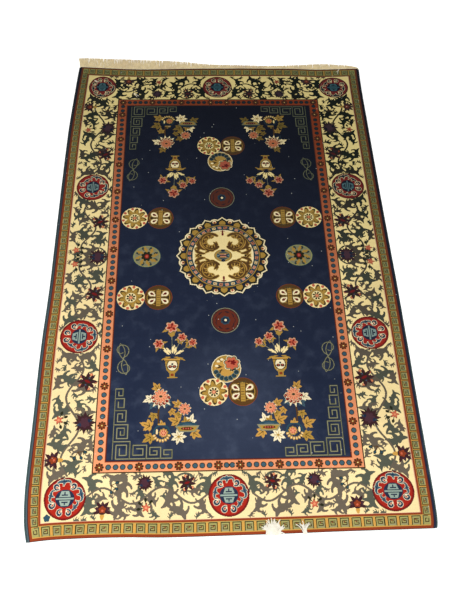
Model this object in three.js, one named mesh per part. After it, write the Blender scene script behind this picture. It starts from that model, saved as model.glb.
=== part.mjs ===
// A hand-knotted carpet with a flat-woven end and a fringe, lying flat on the ground.
//
// Millimetres, +Z up. The carpet lies on the plane z = 0 with its length along Y: the fringed
// end is at +Y and the plain end at -Y. The finished group is shifted so that the centre of its
// footprint is at x = 0, y = 0.
//
// Five pieces, as a maker would work them: the knotted carpet, an overcast cord along each side,
// the flat-woven end past the last row of knots, and the fringe of warp ends.

import * as THREE from 'three';

// --- Driving sizes ---------------------------------------------------------------------------

const CARPET_THICKNESS = 9;      // foundation and pile together
const SELVEDGE_WIDTH = 6;        // the overcast cord on each side, seen from above
const SELVEDGE_HEIGHT = 7;
const SELVEDGE_ROUNDING = 2;     // how far the cord's corners are rounded off
const WEB_LENGTH = 10;           // flat-woven end, from the last knots to the fringe
const WEB_THICKNESS = 2.6;
const FRINGE_THICKNESS = 2.4;
const FRINGE_BACK = 3;           // the strip that joins the fringe's teeth, beside the web
const FRINGE_TEETH = 96;
const TOOTH_FILL = 0.84;         // width of a tooth, as a share of its pitch
const TOOTH_UNEVENNESS = 0.05;   // how much the teeth differ in length, as a share of it
const GAP = 0.4;                 // clearance between neighbouring pieces
const STEP = 40;                 // spacing of the sections along an edge

// The edges of the whole carpet, cords included, are as uneven as handwork is. Each row is a
// section: where it lies along the carpet, and how far out its left and right edges are.
const SIDE_EDGES = [
  { along: -980, left: -601, right: 613 },
  { along: -952, left: -608, right: 621 },
  { along: -915, left: -615, right: 624 },
  { along: -830, left: -622, right: 625 },
  { along: -610, left: -623, right: 625 },
  { along: -366, left: -625, right: 626 },
  { along: -122, left: -620, right: 626 },
  { along: 244, left: -620, right: 623 },
  { along: 610, left: -618, right: 622 },
  { along: 854, left: -609, right: 622 },
  { along: 980, left: -603, right: 625 },
];

// The two ends, by where a section lies across the carpet.
const END_EDGES = [
  { across: -625, near: -982, far: 981 },
  { across: -603, near: -981, far: 980 },
  { across: -537, near: -975, far: 975 },
  { across: -439, near: -972, far: 968 },
  { across: -317, near: -972, far: 964 },
  { across: -195, near: -975, far: 967 },
  { across: 0, near: -974, far: 970 },
  { across: 195, near: -972, far: 970 },
  { across: 317, near: -970, far: 969 },
  { across: 427, near: -969, far: 964 },
  { across: 537, near: -968, far: 967 },
  { across: 626, near: -967, far: 971 },
];

// The fringe: how far its tips reach past the last knots, and how far sideways they lean.
const FRINGE_REACH = [
  { across: -603, reach: 62, lean: -11 },
  { across: -560, reach: 66, lean: -8 },
  { across: -500, reach: 68, lean: -3 },
  { across: -378, reach: 69, lean: 0 },
  { across: -256, reach: 63, lean: 1 },
  { across: -134, reach: 50, lean: 1 },
  { across: -73, reach: 39, lean: 0 },
  { across: -12, reach: 33, lean: 0 },
  { across: 110, reach: 29, lean: 0 },
  { across: 232, reach: 26, lean: 0 },
  { across: 323, reach: 30, lean: 1 },
  { across: 415, reach: 41, lean: 2 },
  { across: 476, reach: 43, lean: 2 },
  { across: 537, reach: 35, lean: 0 },
  { across: 592, reach: 27, lean: -3 },
  { across: 625, reach: 16, lean: -8 },
];

// --- Reading a table between its rows ----------------------------------------------------------

/** The value of one column at a place between the rows, on a smooth curve through them. */
function between(table, key, column, place) {
  const last = table.length - 1;
  let row = 0;
  while (row < last - 1 && place > table[row + 1][key]) row += 1;
  const slope = (i) => {
    const before = table[Math.max(i - 1, 0)];
    const after = table[Math.min(i + 1, last)];
    return (after[column] - before[column]) / (after[key] - before[key]);
  };
  const start = table[row];
  const end = table[row + 1];
  const span = end[key] - start[key];
  const t = THREE.MathUtils.clamp((place - start[key]) / span, 0, 1);
  const rise = (1 + 2 * t) * (1 - t) ** 2 * start[column] + t * t * (3 - 2 * t) * end[column];
  const bend = t * (1 - t) ** 2 * slope(row) - t * t * (1 - t) * slope(row + 1);
  return rise + span * bend;
}

const leftEdge = (along) => between(SIDE_EDGES, 'along', 'left', along);
const rightEdge = (along) => between(SIDE_EDGES, 'along', 'right', along);
const nearEdge = (across) => between(END_EDGES, 'across', 'near', across);
const farEdge = (across) => between(END_EDGES, 'across', 'far', across);

/** The places from start to end: both ends, and every multiple of STEP well between them. */
function places(start, end) {
  const [low, high] = [Math.min(start, end), Math.max(start, end)];
  const inner = [];
  for (let place = Math.ceil((low + 1) / STEP) * STEP; place < high - 1; place += STEP) {
    inner.push(place);
  }
  return start < end ? [start, ...inner, end] : [start, ...inner.reverse(), end];
}

/** The y where the left (-1) or right (+1) edge, moved in by inset, meets an end of the carpet. */
function cornerAlong(side, inset, endEdge) {
  const edge = side < 0 ? leftEdge : rightEdge;
  let along = endEdge(side * 600);
  for (let pass = 0; pass < 4; pass += 1) along = endEdge(edge(along) - side * inset);
  return along;
}

// --- The pieces ------------------------------------------------------------------------------

/** A flat plate with the given outline, standing on z = 0. */
function plate(points, thickness) {
  const outline = new THREE.Shape(points.map(([x, y]) => new THREE.Vector2(x, y)));
  return new THREE.ExtrudeGeometry(outline, { depth: thickness, bevelEnabled: false });
}

/** The knotted carpet between its two side cords. */
function carpetGeometry() {
  const inset = SELVEDGE_WIDTH + GAP;
  const left = (along) => [leftEdge(along) + inset, along];
  const right = (along) => [rightEdge(along) - inset, along];
  const nearLeft = cornerAlong(-1, inset, nearEdge);
  const nearRight = cornerAlong(1, inset, nearEdge);
  const farLeft = cornerAlong(-1, inset, farEdge);
  const farRight = cornerAlong(1, inset, farEdge);
  const across = (from, to, endEdge) => places(from, to).slice(1, -1).map((x) => [x, endEdge(x)]);
  return plate([
    ...places(nearRight, farRight).map(right),
    ...across(right(farRight)[0], left(farLeft)[0], farEdge),
    ...places(farLeft, nearLeft).map(left),
    ...across(left(nearLeft)[0], right(nearRight)[0], nearEdge),
  ], CARPET_THICKNESS);
}

/** The overcast cord along one side: a strip with rounded corners, as long as the carpet. */
function selvedgeGeometry(side) {
  const edge = side < 0 ? leftEdge : rightEdge;
  const setBack = SELVEDGE_ROUNDING + GAP;
  const reach = places(
    cornerAlong(side, 0, nearEdge) + setBack,
    cornerAlong(side, 0, farEdge) - setBack,
  );
  const outer = reach.map((along) => [edge(along) - side * SELVEDGE_ROUNDING, along]);
  const inner = reach.map((along) => [edge(along) - side * (SELVEDGE_WIDTH - SELVEDGE_ROUNDING), along]);
  const points = [...outer, ...inner.reverse()].map(([x, y]) => new THREE.Vector2(x, y));
  const geometry = new THREE.ExtrudeGeometry(new THREE.Shape(points), {
    depth: SELVEDGE_HEIGHT - 2 * SELVEDGE_ROUNDING,
    bevelThickness: SELVEDGE_ROUNDING,
    bevelSize: SELVEDGE_ROUNDING,
    bevelSegments: 2,
  });
  return geometry.translate(0, 0, SELVEDGE_ROUNDING);
}

/** The flat-woven end: a narrow strip that follows the last row of knots. */
function webGeometry() {
  const start = FRINGE_REACH[0].across;
  const end = FRINGE_REACH.at(-1).across;
  const inner = places(start, end).map((x) => [x, farEdge(x) + GAP]);
  const outer = places(end, start).map((x) => [x, farEdge(x) + WEB_LENGTH]);
  return plate([...inner, ...outer], WEB_THICKNESS);
}

/** The fringe: one comb, its teeth cut from a strip that follows the flat-woven end. */
function fringeGeometry() {
  const start = FRINGE_REACH[0].across;
  const pitch = (FRINGE_REACH.at(-1).across - start) / FRINGE_TEETH;
  const toothWidth = pitch * TOOTH_FILL;
  const back = (x) => farEdge(x) + WEB_LENGTH + GAP;
  const teeth = [];
  for (let tooth = 0; tooth < FRINGE_TEETH; tooth += 1) {
    const left = start + tooth * pitch + (pitch - toothWidth) / 2;
    const right = left + toothWidth;
    const middle = (left + right) / 2;
    const uneven = 1 - TOOTH_UNEVENNESS * Math.abs(Math.sin(tooth * 2.4));
    const tip = farEdge(middle) + uneven * between(FRINGE_REACH, 'across', 'reach', middle);
    const lean = between(FRINGE_REACH, 'across', 'lean', middle);
    teeth.push(
      [left, back(left) + FRINGE_BACK],
      [left + lean, tip],
      [right + lean, tip],
      [right, back(right) + FRINGE_BACK],
    );
  }
  const strip = places(teeth.at(-1)[0], teeth[0][0]).map((x) => [x, back(x)]);
  return plate([...teeth, ...strip].reverse(), FRINGE_THICKNESS);
}

// --- Putting it together -----------------------------------------------------------------------

function piece(name, geometry, color, roughness) {
  const mesh = new THREE.Mesh(
    geometry,
    new THREE.MeshStandardMaterial({ color, roughness, metalness: 0 }),
  );
  mesh.name = name;
  return mesh;
}

const rug = new THREE.Group();
rug.add(
  piece('carpet', carpetGeometry(), 0x1f2848, 0.9),
  piece('selvedge_left', selvedgeGeometry(-1), 0x27384a, 0.95),
  piece('selvedge_right', selvedgeGeometry(1), 0x27384a, 0.95),
  piece('end_web', webGeometry(), 0xe9dfbc, 0.95),
  piece('fringe', fringeGeometry(), 0xd8c79a, 0.95),
);

const footprint = new THREE.Box3().setFromObject(rug).getCenter(new THREE.Vector3());
rug.position.set(-footprint.x, -footprint.y, 0);

export default rug;
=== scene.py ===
"""A hand-knotted carpet with a navy field, a floral border and a fringed end, lying on a floor."""

import logging
import math
from dataclasses import dataclass, field, replace
from enum import Enum, IntEnum
from typing import Callable, Sequence

import bpy
import numpy as np
from mathutils import Matrix, Vector


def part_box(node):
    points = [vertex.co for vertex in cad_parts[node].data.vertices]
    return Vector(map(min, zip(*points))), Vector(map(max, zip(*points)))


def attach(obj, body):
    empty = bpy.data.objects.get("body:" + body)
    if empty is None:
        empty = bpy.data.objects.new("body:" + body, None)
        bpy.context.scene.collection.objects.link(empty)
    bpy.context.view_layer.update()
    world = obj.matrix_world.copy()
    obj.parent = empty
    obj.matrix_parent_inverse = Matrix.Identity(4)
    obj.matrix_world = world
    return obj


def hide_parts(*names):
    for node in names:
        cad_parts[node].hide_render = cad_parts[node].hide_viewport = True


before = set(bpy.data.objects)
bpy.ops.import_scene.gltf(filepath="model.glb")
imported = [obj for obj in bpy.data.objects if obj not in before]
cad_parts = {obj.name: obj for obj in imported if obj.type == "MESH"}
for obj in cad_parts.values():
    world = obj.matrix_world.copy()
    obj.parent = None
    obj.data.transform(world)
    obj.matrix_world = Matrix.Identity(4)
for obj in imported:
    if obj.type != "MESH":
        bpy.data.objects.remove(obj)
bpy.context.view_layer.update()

LOG = logging.getLogger("carpet")
MILLI = 0.001
STEPS = 32  # Most dyes that the chart can hold.
BLOCK_COLUMNS = 4  # Knots across one face of the pile: the digits of one number.
BLOCK_ROWS = 5  # Knots along one face: one number for each.

# --- The dyes and the knot chart ----------------------------------------------------------------
# A carpet of this kind is knotted from a chart, one dyed knot at a time. The chart is drawn here
# from shapes, in millimetres from the carpet's centre, with x across and y towards the fringe.

Point = tuple[float, float]


class Dye(IntEnum):
    """The yarns on the knotter's shelf, each with its colour at the near and at the far end: the near
    colours are painted lighter with light and sheen, the far ones painted darker with shade.
    """

    near: str
    far: str

    def __new__(cls, near: str, far: str) -> "Dye":
        """Number the yarns in their order."""
        dye = int.__new__(cls, len(cls.__members__))
        dye._value_ = len(cls.__members__)
        dye.near = near
        dye.far = far
        return dye

    NAVY = "232c43", "0a0e19"
    TEAL = "2f4e5c", "15212a"
    STEEL = "44606e", "141e26"
    AQUA = "98aa9c", "2a4b52"
    CREAM = "f7dea6", "c2b276"
    IVORY = "f1e3be", "c7b88a"
    GOLD = "cf9c4a", "7d6530"
    OCHRE = "b18a3b", "7b632e"
    ORANGE = "ef9c6e", "682b15"
    SALMON = "ee9f76", "955838"
    CORAL = "d0664a", "7c4030"
    RED = "a9271a", "561c1b"
    GARNET = "7d1a16", "401616"
    RUST = "913e1f", "4c2618"
    MAROON = "3e2226", "22171a"
    PLUM = "4e2e38", "2c2026"
    BROWN = "5b3d1c", "3c2b18"
    UMBER = "40301b", "221a12"
    LEAF = "6c6254", "0d120e"
    SAGE = "938f70", "525643"
    OLIVE = "a39c5e", "6d7043"
    MOSS = "4d4f36", "1f241b"
    INK = "2b2c1c", "14150f"
    PINK = "dfb393", "8f755d"
    BRICK = "6e2c1b", "34201a"
    BINDING = "4c5c62", "0a0f1c"
    STRAW = "cf9c4a", "55481f"
    FERN = "595c4f", "0c140f"


class Symmetry(Enum):
    """How a stroke of the chart is repeated, as (across, along) mirror images."""

    NONE = ((False, False),)
    SIDES = ((False, False), (True, False))
    ENDS = ((False, False), (False, True))
    QUARTERS = ((False, False), (True, False), (False, True), (True, True))


def facing(turn: float) -> Point:
    """The direction at an angle in degrees, as its cosine and sine."""
    return math.cos(math.radians(turn)), math.sin(math.radians(turn))


@dataclass(frozen=True)
class Shape:
    """An area of the chart: a test for points, and a circle that holds the whole area."""

    holds: Callable[[np.ndarray, np.ndarray], np.ndarray]
    x: float
    y: float
    reach: float


def disc(radius: float, x: float = 0.0, y: float = 0.0) -> Shape:
    """A round spot."""
    return Shape(lambda u, v: (u - x) ** 2 + (v - y) ** 2 <= radius**2, x, y, radius)


def oval(across: float, along: float, x: float = 0.0, y: float = 0.0, turn: float = 0.0) -> Shape:
    """An ellipse of two half sizes round a point, its first axis turned in degrees from +x."""
    c, s = facing(turn)
    return Shape(lambda u, v: (((u - x) * c + (v - y) * s) / across) ** 2
                 + (((v - y) * c - (u - x) * s) / along) ** 2 <= 1, x, y, max(across, along))


def lobed(radius: float, depth: float, lobes: int, turn: float = 0.0, sharp: float = 1.0,
          x: float = 0.0, y: float = 0.0) -> Shape:
    """A flower-like disc with lobes or spikes round its edge.

    Args:
        radius: From the centre to the tips.
        depth: How far the edge comes in between two tips.
        lobes: Number of tips.
        turn: Degrees from +x to the first tip.
        sharp: Above 1 the tips are spikes; below 1 they are round lobes.
        x: Centre.
        y: Centre.
    """
    def holds(u: np.ndarray, v: np.ndarray) -> np.ndarray:
        """Tell which points lie inside."""
        du, dv = u - x, v - y
        angle = (np.arctan2(dv, du) - math.radians(turn)) * lobes / 2
        return np.hypot(du, dv) <= radius - depth * (1 - np.abs(np.cos(angle)) ** sharp)

    return Shape(holds, x, y, radius)


def block(x0: float, x1: float, y0: float, y1: float) -> Shape:
    """A rectangle between two x and two y values."""
    return Shape(lambda u, v: (u >= x0) & (u <= x1) & (v >= y0) & (v <= y1),
                 (x0 + x1) / 2, (y0 + y1) / 2, math.hypot(x1 - x0, y1 - y0) / 2)


def polygon(*corners: Point) -> Shape:
    """An area with straight sides, given by its corners in order."""
    x, y = np.mean(corners, axis=0).tolist()

    def holds(u: np.ndarray, v: np.ndarray) -> np.ndarray:
        """Tell which points lie inside, by counting the sides to their right."""
        inside = np.zeros(u.shape, bool)
        for (ax, ay), (bx, by) in zip(corners, corners[1:] + corners[:1]):
            if ay != by:
                spans = (ay > v) != (by > v)
                inside ^= spans & (u < ax + (v - ay) * (bx - ax) / (by - ay))
        return inside

    return Shape(holds, x, y, max(math.hypot(cx - x, cy - y) for cx, cy in corners))


def stroke(points: Sequence[Point], *widths: float) -> Shape:
    """A line with round ends through its corners, its full widths spread evenly along it."""
    line = np.array(points, float)
    share = np.linspace(0, 1, len(line))
    half = np.interp(share, np.linspace(0, 1, max(len(widths), 2)),
                     widths if len(widths) > 1 else widths * 2) / 2
    middle = (line.min(axis=0) + line.max(axis=0)) / 2

    def holds(u: np.ndarray, v: np.ndarray) -> np.ndarray:
        """Tell which points lie within half a width of the line."""
        inside = np.zeros(u.shape, bool)
        for (ax, ay), (bx, by), start, end in zip(line, line[1:], half, half[1:]):
            length = max((bx - ax) ** 2 + (by - ay) ** 2, 1e-9)
            t = np.clip(((u - ax) * (bx - ax) + (v - ay) * (by - ay)) / length, 0, 1)
            near = (u - ax - t * (bx - ax)) ** 2 + (v - ay - t * (by - ay)) ** 2
            inside |= near <= (start + t * (end - start)) ** 2
        return inside

    return Shape(holds, *middle.tolist(), float(np.hypot(*(line - middle).T).max() + half.max()))


def sweep(points: Sequence[Point], *widths: float) -> Shape:
    """A line of varying width that runs smoothly through the given points."""
    nodes = np.array([points[0], *points, points[-1]], float)
    curve = [0.5 * (2 * b + (c - a) * t + (2 * a - 5 * b + 4 * c - d) * t**2
                    + (3 * b - a - 3 * c + d) * t**3)
             for a, b, c, d in zip(nodes, nodes[1:], nodes[2:], nodes[3:]) for t in np.arange(7) / 7]
    return stroke([*curve, nodes[-1]], *widths)


def curl(x: float, radius: float, start: float, end: float, *widths: float, y: float = 0.0) -> Shape:
    """A tendril that winds inwards.

    Args:
        x: Centre of the winding.
        radius: Its radius at the start. It closes to about a third of that.
        start: Degrees from +x at the start.
        end: Degrees from +x at the end, more than start for a turn to the left.
        *widths: Full widths, from start to end.
        y: Centre of the winding.
    """
    t = np.linspace(0, 1, 15)
    angle, size = np.radians(start + (end - start) * t), radius * (1 - 0.65 * t)
    return stroke(np.column_stack((x + size * np.cos(angle), y + size * np.sin(angle))), *widths)


def arc(length: float, bend: float, pieces: int = 12) -> list[Point]:
    """A line from the origin along +x that bends evenly, by so many degrees to the left in all."""
    rate = math.radians(bend) or 1e-6
    turns = [rate * piece / pieces for piece in range(pieces + 1)]
    return [(length * math.sin(turn) / rate, length * (1 - math.cos(turn)) / rate) for turn in turns]


def bud(length: float, width: float) -> Shape:
    """A pointed drop that grows from the origin along +x."""
    line = [(length * t, 0.0) for t in (0, 0.3, 0.65, 1)]
    return stroke(line, 0.4 * width, width, 0.75 * width, 0.6)


def bar(start: float, end: float, *widths: float) -> Shape:
    """A straight line along the x axis."""
    return stroke([(start, 0), (end, 0)], *widths)


def saw_leaf(length: float, width: float, bend: float, teeth: int = 2) -> Shape:
    """A saw-edged leaf that grows from the origin along +x, its teeth towards its tip.

    Args:
        length: From stem to tip.
        width: Full width over the teeth.
        bend: Degrees it turns to the left on its way.
        teeth: Number of teeth on each side.
    """
    steps = 8 * teeth
    sides: dict[int, list[Point]] = {-1: [], 1: []}
    for step, (x, y) in enumerate(arc(length, bend, steps)):
        t = step / steps
        c, s = facing(bend * t)
        body = 0.5 * width * math.sin(math.pi * (0.08 + 0.92 * t)) ** 0.7
        for side, corners in sides.items():
            tooth = (t * teeth + 0.25 * side + 0.25) % 1
            half = side * body * (0.38 + 0.66 * tooth)
            lean = 0.45 * tooth * length / teeth * (1 - t)
            corners.append((x + lean * c - half * s, y + lean * s + half * c))
    return polygon(*sides[1], *reversed(sides[-1]))


def square_spiral(size: float, step: float) -> list[Point]:
    """The line of a key pattern: a square that winds inwards from the origin."""
    points = [(0.0, 0.0)]
    run, side = size, 0
    while run > step:
        x, y = points[-1]
        points.append((x + run * (1, 0, -1, 0)[side % 4], y + run * (0, 1, 0, -1)[side % 4]))
        side += 1
        run -= step if side > 2 and side % 2 else 0
    return points


@dataclass(frozen=True)
class Place:
    """Where and how a motif lies: its own x axis is mirrored first, and then all of it turned."""

    x: float
    y: float
    turn: float = 0.0
    size: float = 1.0
    sign: int = 1

    def spot(self, x: float, y: float) -> Point:
        """Where a point of the motif lies on the carpet."""
        c, s = facing(self.turn)
        return (self.x + self.size * (self.sign * x * c - y * s),
                self.y + self.size * (self.sign * x * s + y * c))

    def at(self, x: float, y: float, turn: float, size: float) -> "Place":
        """The place of a part of the motif."""
        return Place(*self.spot(x, y), self.turn + self.sign * turn, self.size * size, self.sign)


@dataclass
class Chart:
    """The knotter's chart: one dye for each knot, rows from the plain end to the fringe.

    Args:
        columns: Knots across.
        rows: Knots along.
        width: Size of the knotted area across, in millimetres.
        length: Size of the knotted area along, in millimetres.
        symmetry: How whatever is painted next is repeated.
        ground: Where given, only knots of this dye are painted over.
    """

    columns: int
    rows: int
    width: float
    length: float
    symmetry: Symmetry = Symmetry.QUARTERS
    ground: Dye | None = None
    knots: np.ndarray = field(init=False)

    def __post_init__(self) -> None:
        """Start with the field's dye everywhere."""
        self.knots = np.full((self.rows, self.columns), Dye.NAVY, np.uint8)

    @staticmethod
    def _window(middle: float, reach: float, count: int, size: float) -> tuple[int, int]:
        """The first knot and the one past the last that a stretch of the chart covers."""
        first = (middle - reach + size / 2) / size * count
        last = (middle + reach + size / 2) / size * count
        return max(int(first) - 1, 0), min(int(last) + 2, count)

    def paint(self, dye: Dye, shape: Shape, place: Place = Place(0, 0)) -> None:
        """Knot a shape, given in a motif's own frame, in one dye, with its mirror images."""
        c, s = facing(place.turn)
        x, y = place.spot(shape.x, shape.y)
        reach = shape.reach * place.size
        left, right = self._window(x, reach, self.columns, self.width)
        low, high = self._window(y, reach, self.rows, self.length)
        if left >= right or low >= high:
            return
        across = ((np.arange(left, right) + 0.5) / self.columns - 0.5) * self.width - place.x
        along = ((np.arange(low, high) + 0.5) / self.rows - 0.5) * self.length - place.y
        du, dv = np.meshgrid(across / place.size, along / place.size)
        held = shape.holds(place.sign * (du * c + dv * s), dv * c - du * s)
        for flip_across, flip_along in self.symmetry.value:
            knots = self.knots[:, ::-1] if flip_across else self.knots
            knots = knots[::-1] if flip_along else knots
            part = knots[low:high, left:right]
            part[held if self.ground is None else held & (part == self.ground)] = dye

    def motif(self, *place: float) -> "Brush":
        """A brush that draws in the frame of a motif at (x, y, turn, size)."""
        return Brush(self, (Place(*place),))


@dataclass(frozen=True)
class Brush:
    """Draws a motif in its own frame, at one place or at several at once."""

    chart: Chart
    places: tuple[Place, ...]

    def at(self, x: float, y: float, turn: float = 0.0, size: float = 1.0) -> "Brush":
        """The brush for a part of the motif."""
        return Brush(self.chart, tuple(place.at(x, y, turn, size) for place in self.places))

    def turned(self, *turns: float, size: float = 1.0) -> "Brush":
        """The brush turned about the motif's centre, to one or more directions at once."""
        return Brush(self.chart, tuple(place.at(0, 0, turn, size)
                                       for turn in turns for place in self.places))

    def around(self, count: int, first: float = 0.0, step: float = 0.0) -> "Brush":
        """The brush turned in even steps, all round the motif's centre if no step is given."""
        return self.turned(*(first + (step or 360 / count) * k for k in range(count)))

    def flipped(self) -> "Brush":
        """The brush mirrored across the motif's x axis."""
        return Brush(self.chart, tuple(replace(place, turn=place.turn + 180, sign=-place.sign)
                                       for place in self.places))

    def paint(self, *steps: Dye | Shape) -> None:
        """Knot shapes one over the other. Each dye holds for the shapes that follow it."""
        dye = Dye.NAVY
        for step in steps:
            if isinstance(step, Dye):
                dye = step
                continue
            for place in self.places:
                self.chart.paint(dye, step, place)


# --- The borders ----------------------------------------------------------------------------------

@dataclass
class Vine:
    """A vine that grows over a quarter of the cream band until its leaves fill it evenly.

    Args:
        chart: Where it is drawn.
        clear: Round places to keep off, as centre and radius.
        hand: The weaver's hand.
        band: Half width and half length of the band's inner edge, then of its outer edge.
        stems: The winding main stems, each with its start, direction, length and waves.
        stages: Size of the leaves, number of tries and whether they are thin tendrils.
        lobes: Each lobe of a leaf: its share of the way along, its lean and its size.
        leaf: Length and width of the largest leaves.
        swing: How far a stem winds to each side.
        fern_share: Share of the leaves that are knotted in the greener dye.
        taken: Points of all that has grown so far.
    """

    chart: Chart
    clear: tuple[tuple[float, float, float], ...]
    hand: np.random.Generator
    band: tuple[float, float, float, float] = (420, 781, 571, 928)
    stems: tuple[tuple[float, float, float, float, int], ...] = (
        (-497, -386, -90, 404, 4), (-497, -252, 90, 252, 3), (-432, -853, 0, 362, 4))
    stages: tuple[tuple[float, int, bool], ...] = (
        (1.0, 2000, False), (0.82, 2400, False), (0.66, 3000, False), (0.7, 900, True),
        (0.52, 4000, False), (0.4, 5000, False), (0.32, 4000, False))
    lobes: tuple[tuple[float, float, float], ...] = (
        (0.16, -60, 0.9), (0.4, -58, 1.1), (0.64, -52, 0.95), (0.3, 86, 0.75), (0.6, 78, 0.6))
    leaf: Point = (64.0, 33.0)
    swing: float = 24.0
    fern_share: float = 0.45
    taken: np.ndarray = field(default_factory=lambda: np.zeros((0, 2)))

    def grow(self) -> None:
        """Draw the stems, then let leaves sprout from whatever is there, large ones first."""
        for *place, length, waves in self.stems:
            share = np.linspace(0, 1, 12 * waves + 1)
            line = np.column_stack((length * share, self.swing * np.sin(math.pi * waves * share)))
            self.chart.motif(*place).paint(Dye.LEAF, stroke(line, 6, 7, 6))
            self.taken = np.vstack((self.taken, self._laid(line, place[:2], place[2])))
        for size, tries, thin in self.stages:
            for _ in range(tries):
                self._sprout(size, thin)

    @staticmethod
    def _laid(line: np.ndarray, root: Sequence[float], turn: float) -> np.ndarray:
        """Rows of points, turned to the left and moved to a root."""
        c, s = facing(turn)
        return line @ np.array(((c, s), (-s, c))) + root

    def _sprout(self, size: float, thin: bool) -> None:
        """Grow a leaf or a thin tendril towards a random spot if there is room for it."""
        length, width = self.leaf[0] * size, self.leaf[1] * size
        aim = -self.hand.uniform(0, self.band[2:])
        apart = np.hypot(*(self.taken - aim).T)
        if not 0.3 * length < apart.min() < 1.1 * length:
            return
        root = self.taken[apart.argmin()]
        bend = self.hand.choice((-1, 1)) * self.hand.uniform(50, 115)
        turn = math.degrees(math.atan2(*(aim - root)[::-1])) - bend / 2
        rib = np.array(arc(length, bend))
        body = rib[5:]
        if not thin:
            headings = np.radians(np.linspace(0, bend, 13))
            outward = -math.copysign(0.62 * width, bend)
            back = rib + outward * np.column_stack((-np.sin(headings), np.cos(headings)))
            body = np.vstack((body, back[4:12]))
        body = self._laid(body, root, turn)
        if self._is_free(body, 9 if thin else 5 + 3 * size):
            self.taken = np.vstack((self.taken, body))
            dye = Dye.FERN if self.hand.uniform() < self.fern_share else Dye.LEAF
            brush = self.chart.motif(*root, turn)
            if thin:
                brush.paint(dye, stroke(rib, 6, 6, 9))
            else:
                self._leaf(brush, dye, length, width, bend)

    def _is_free(self, body: np.ndarray, gap: float) -> bool:
        """Tell whether a leaf lies within the band and clear of all that is there."""
        x, y = body.T
        inner_x, inner_y, outer_x, outer_y = self.band
        inside = (x > -outer_x) & (y > -outer_y) & ((x < -inner_x) | (y < -inner_y)) & (x < 2) & (y < 2)
        if not inside.all():
            return False
        if any((np.hypot(x - cx, y - cy) < radius).any() for cx, cy, radius in self.clear):
            return False
        apart = np.hypot(x[:, None] - self.taken[:, 0], y[:, None] - self.taken[:, 1])
        return bool(apart.min() > gap)

    def _leaf(self, brush: Brush, dye: Dye, length: float, width: float, bend: float) -> None:
        """A crescent-shaped leaf with hooked lobes on its outer side and two within."""
        way = math.copysign(1, bend)
        rib = arc(length, bend, 20)
        thick = (0.24, 0.56, 0.66, 0.54, 0.36, 0.12)
        brush.paint(dye, stroke(rib, *(share * width for share in thick)))
        for share, lean, size in self.lobes:
            lobe = brush.at(*rib[round(20 * share)], bend * share + way * lean, size * width / 30)
            lobe.paint(dye, stroke(arc(27, math.copysign(94, way * lean)), 13, 11, 7, 6))


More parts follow.
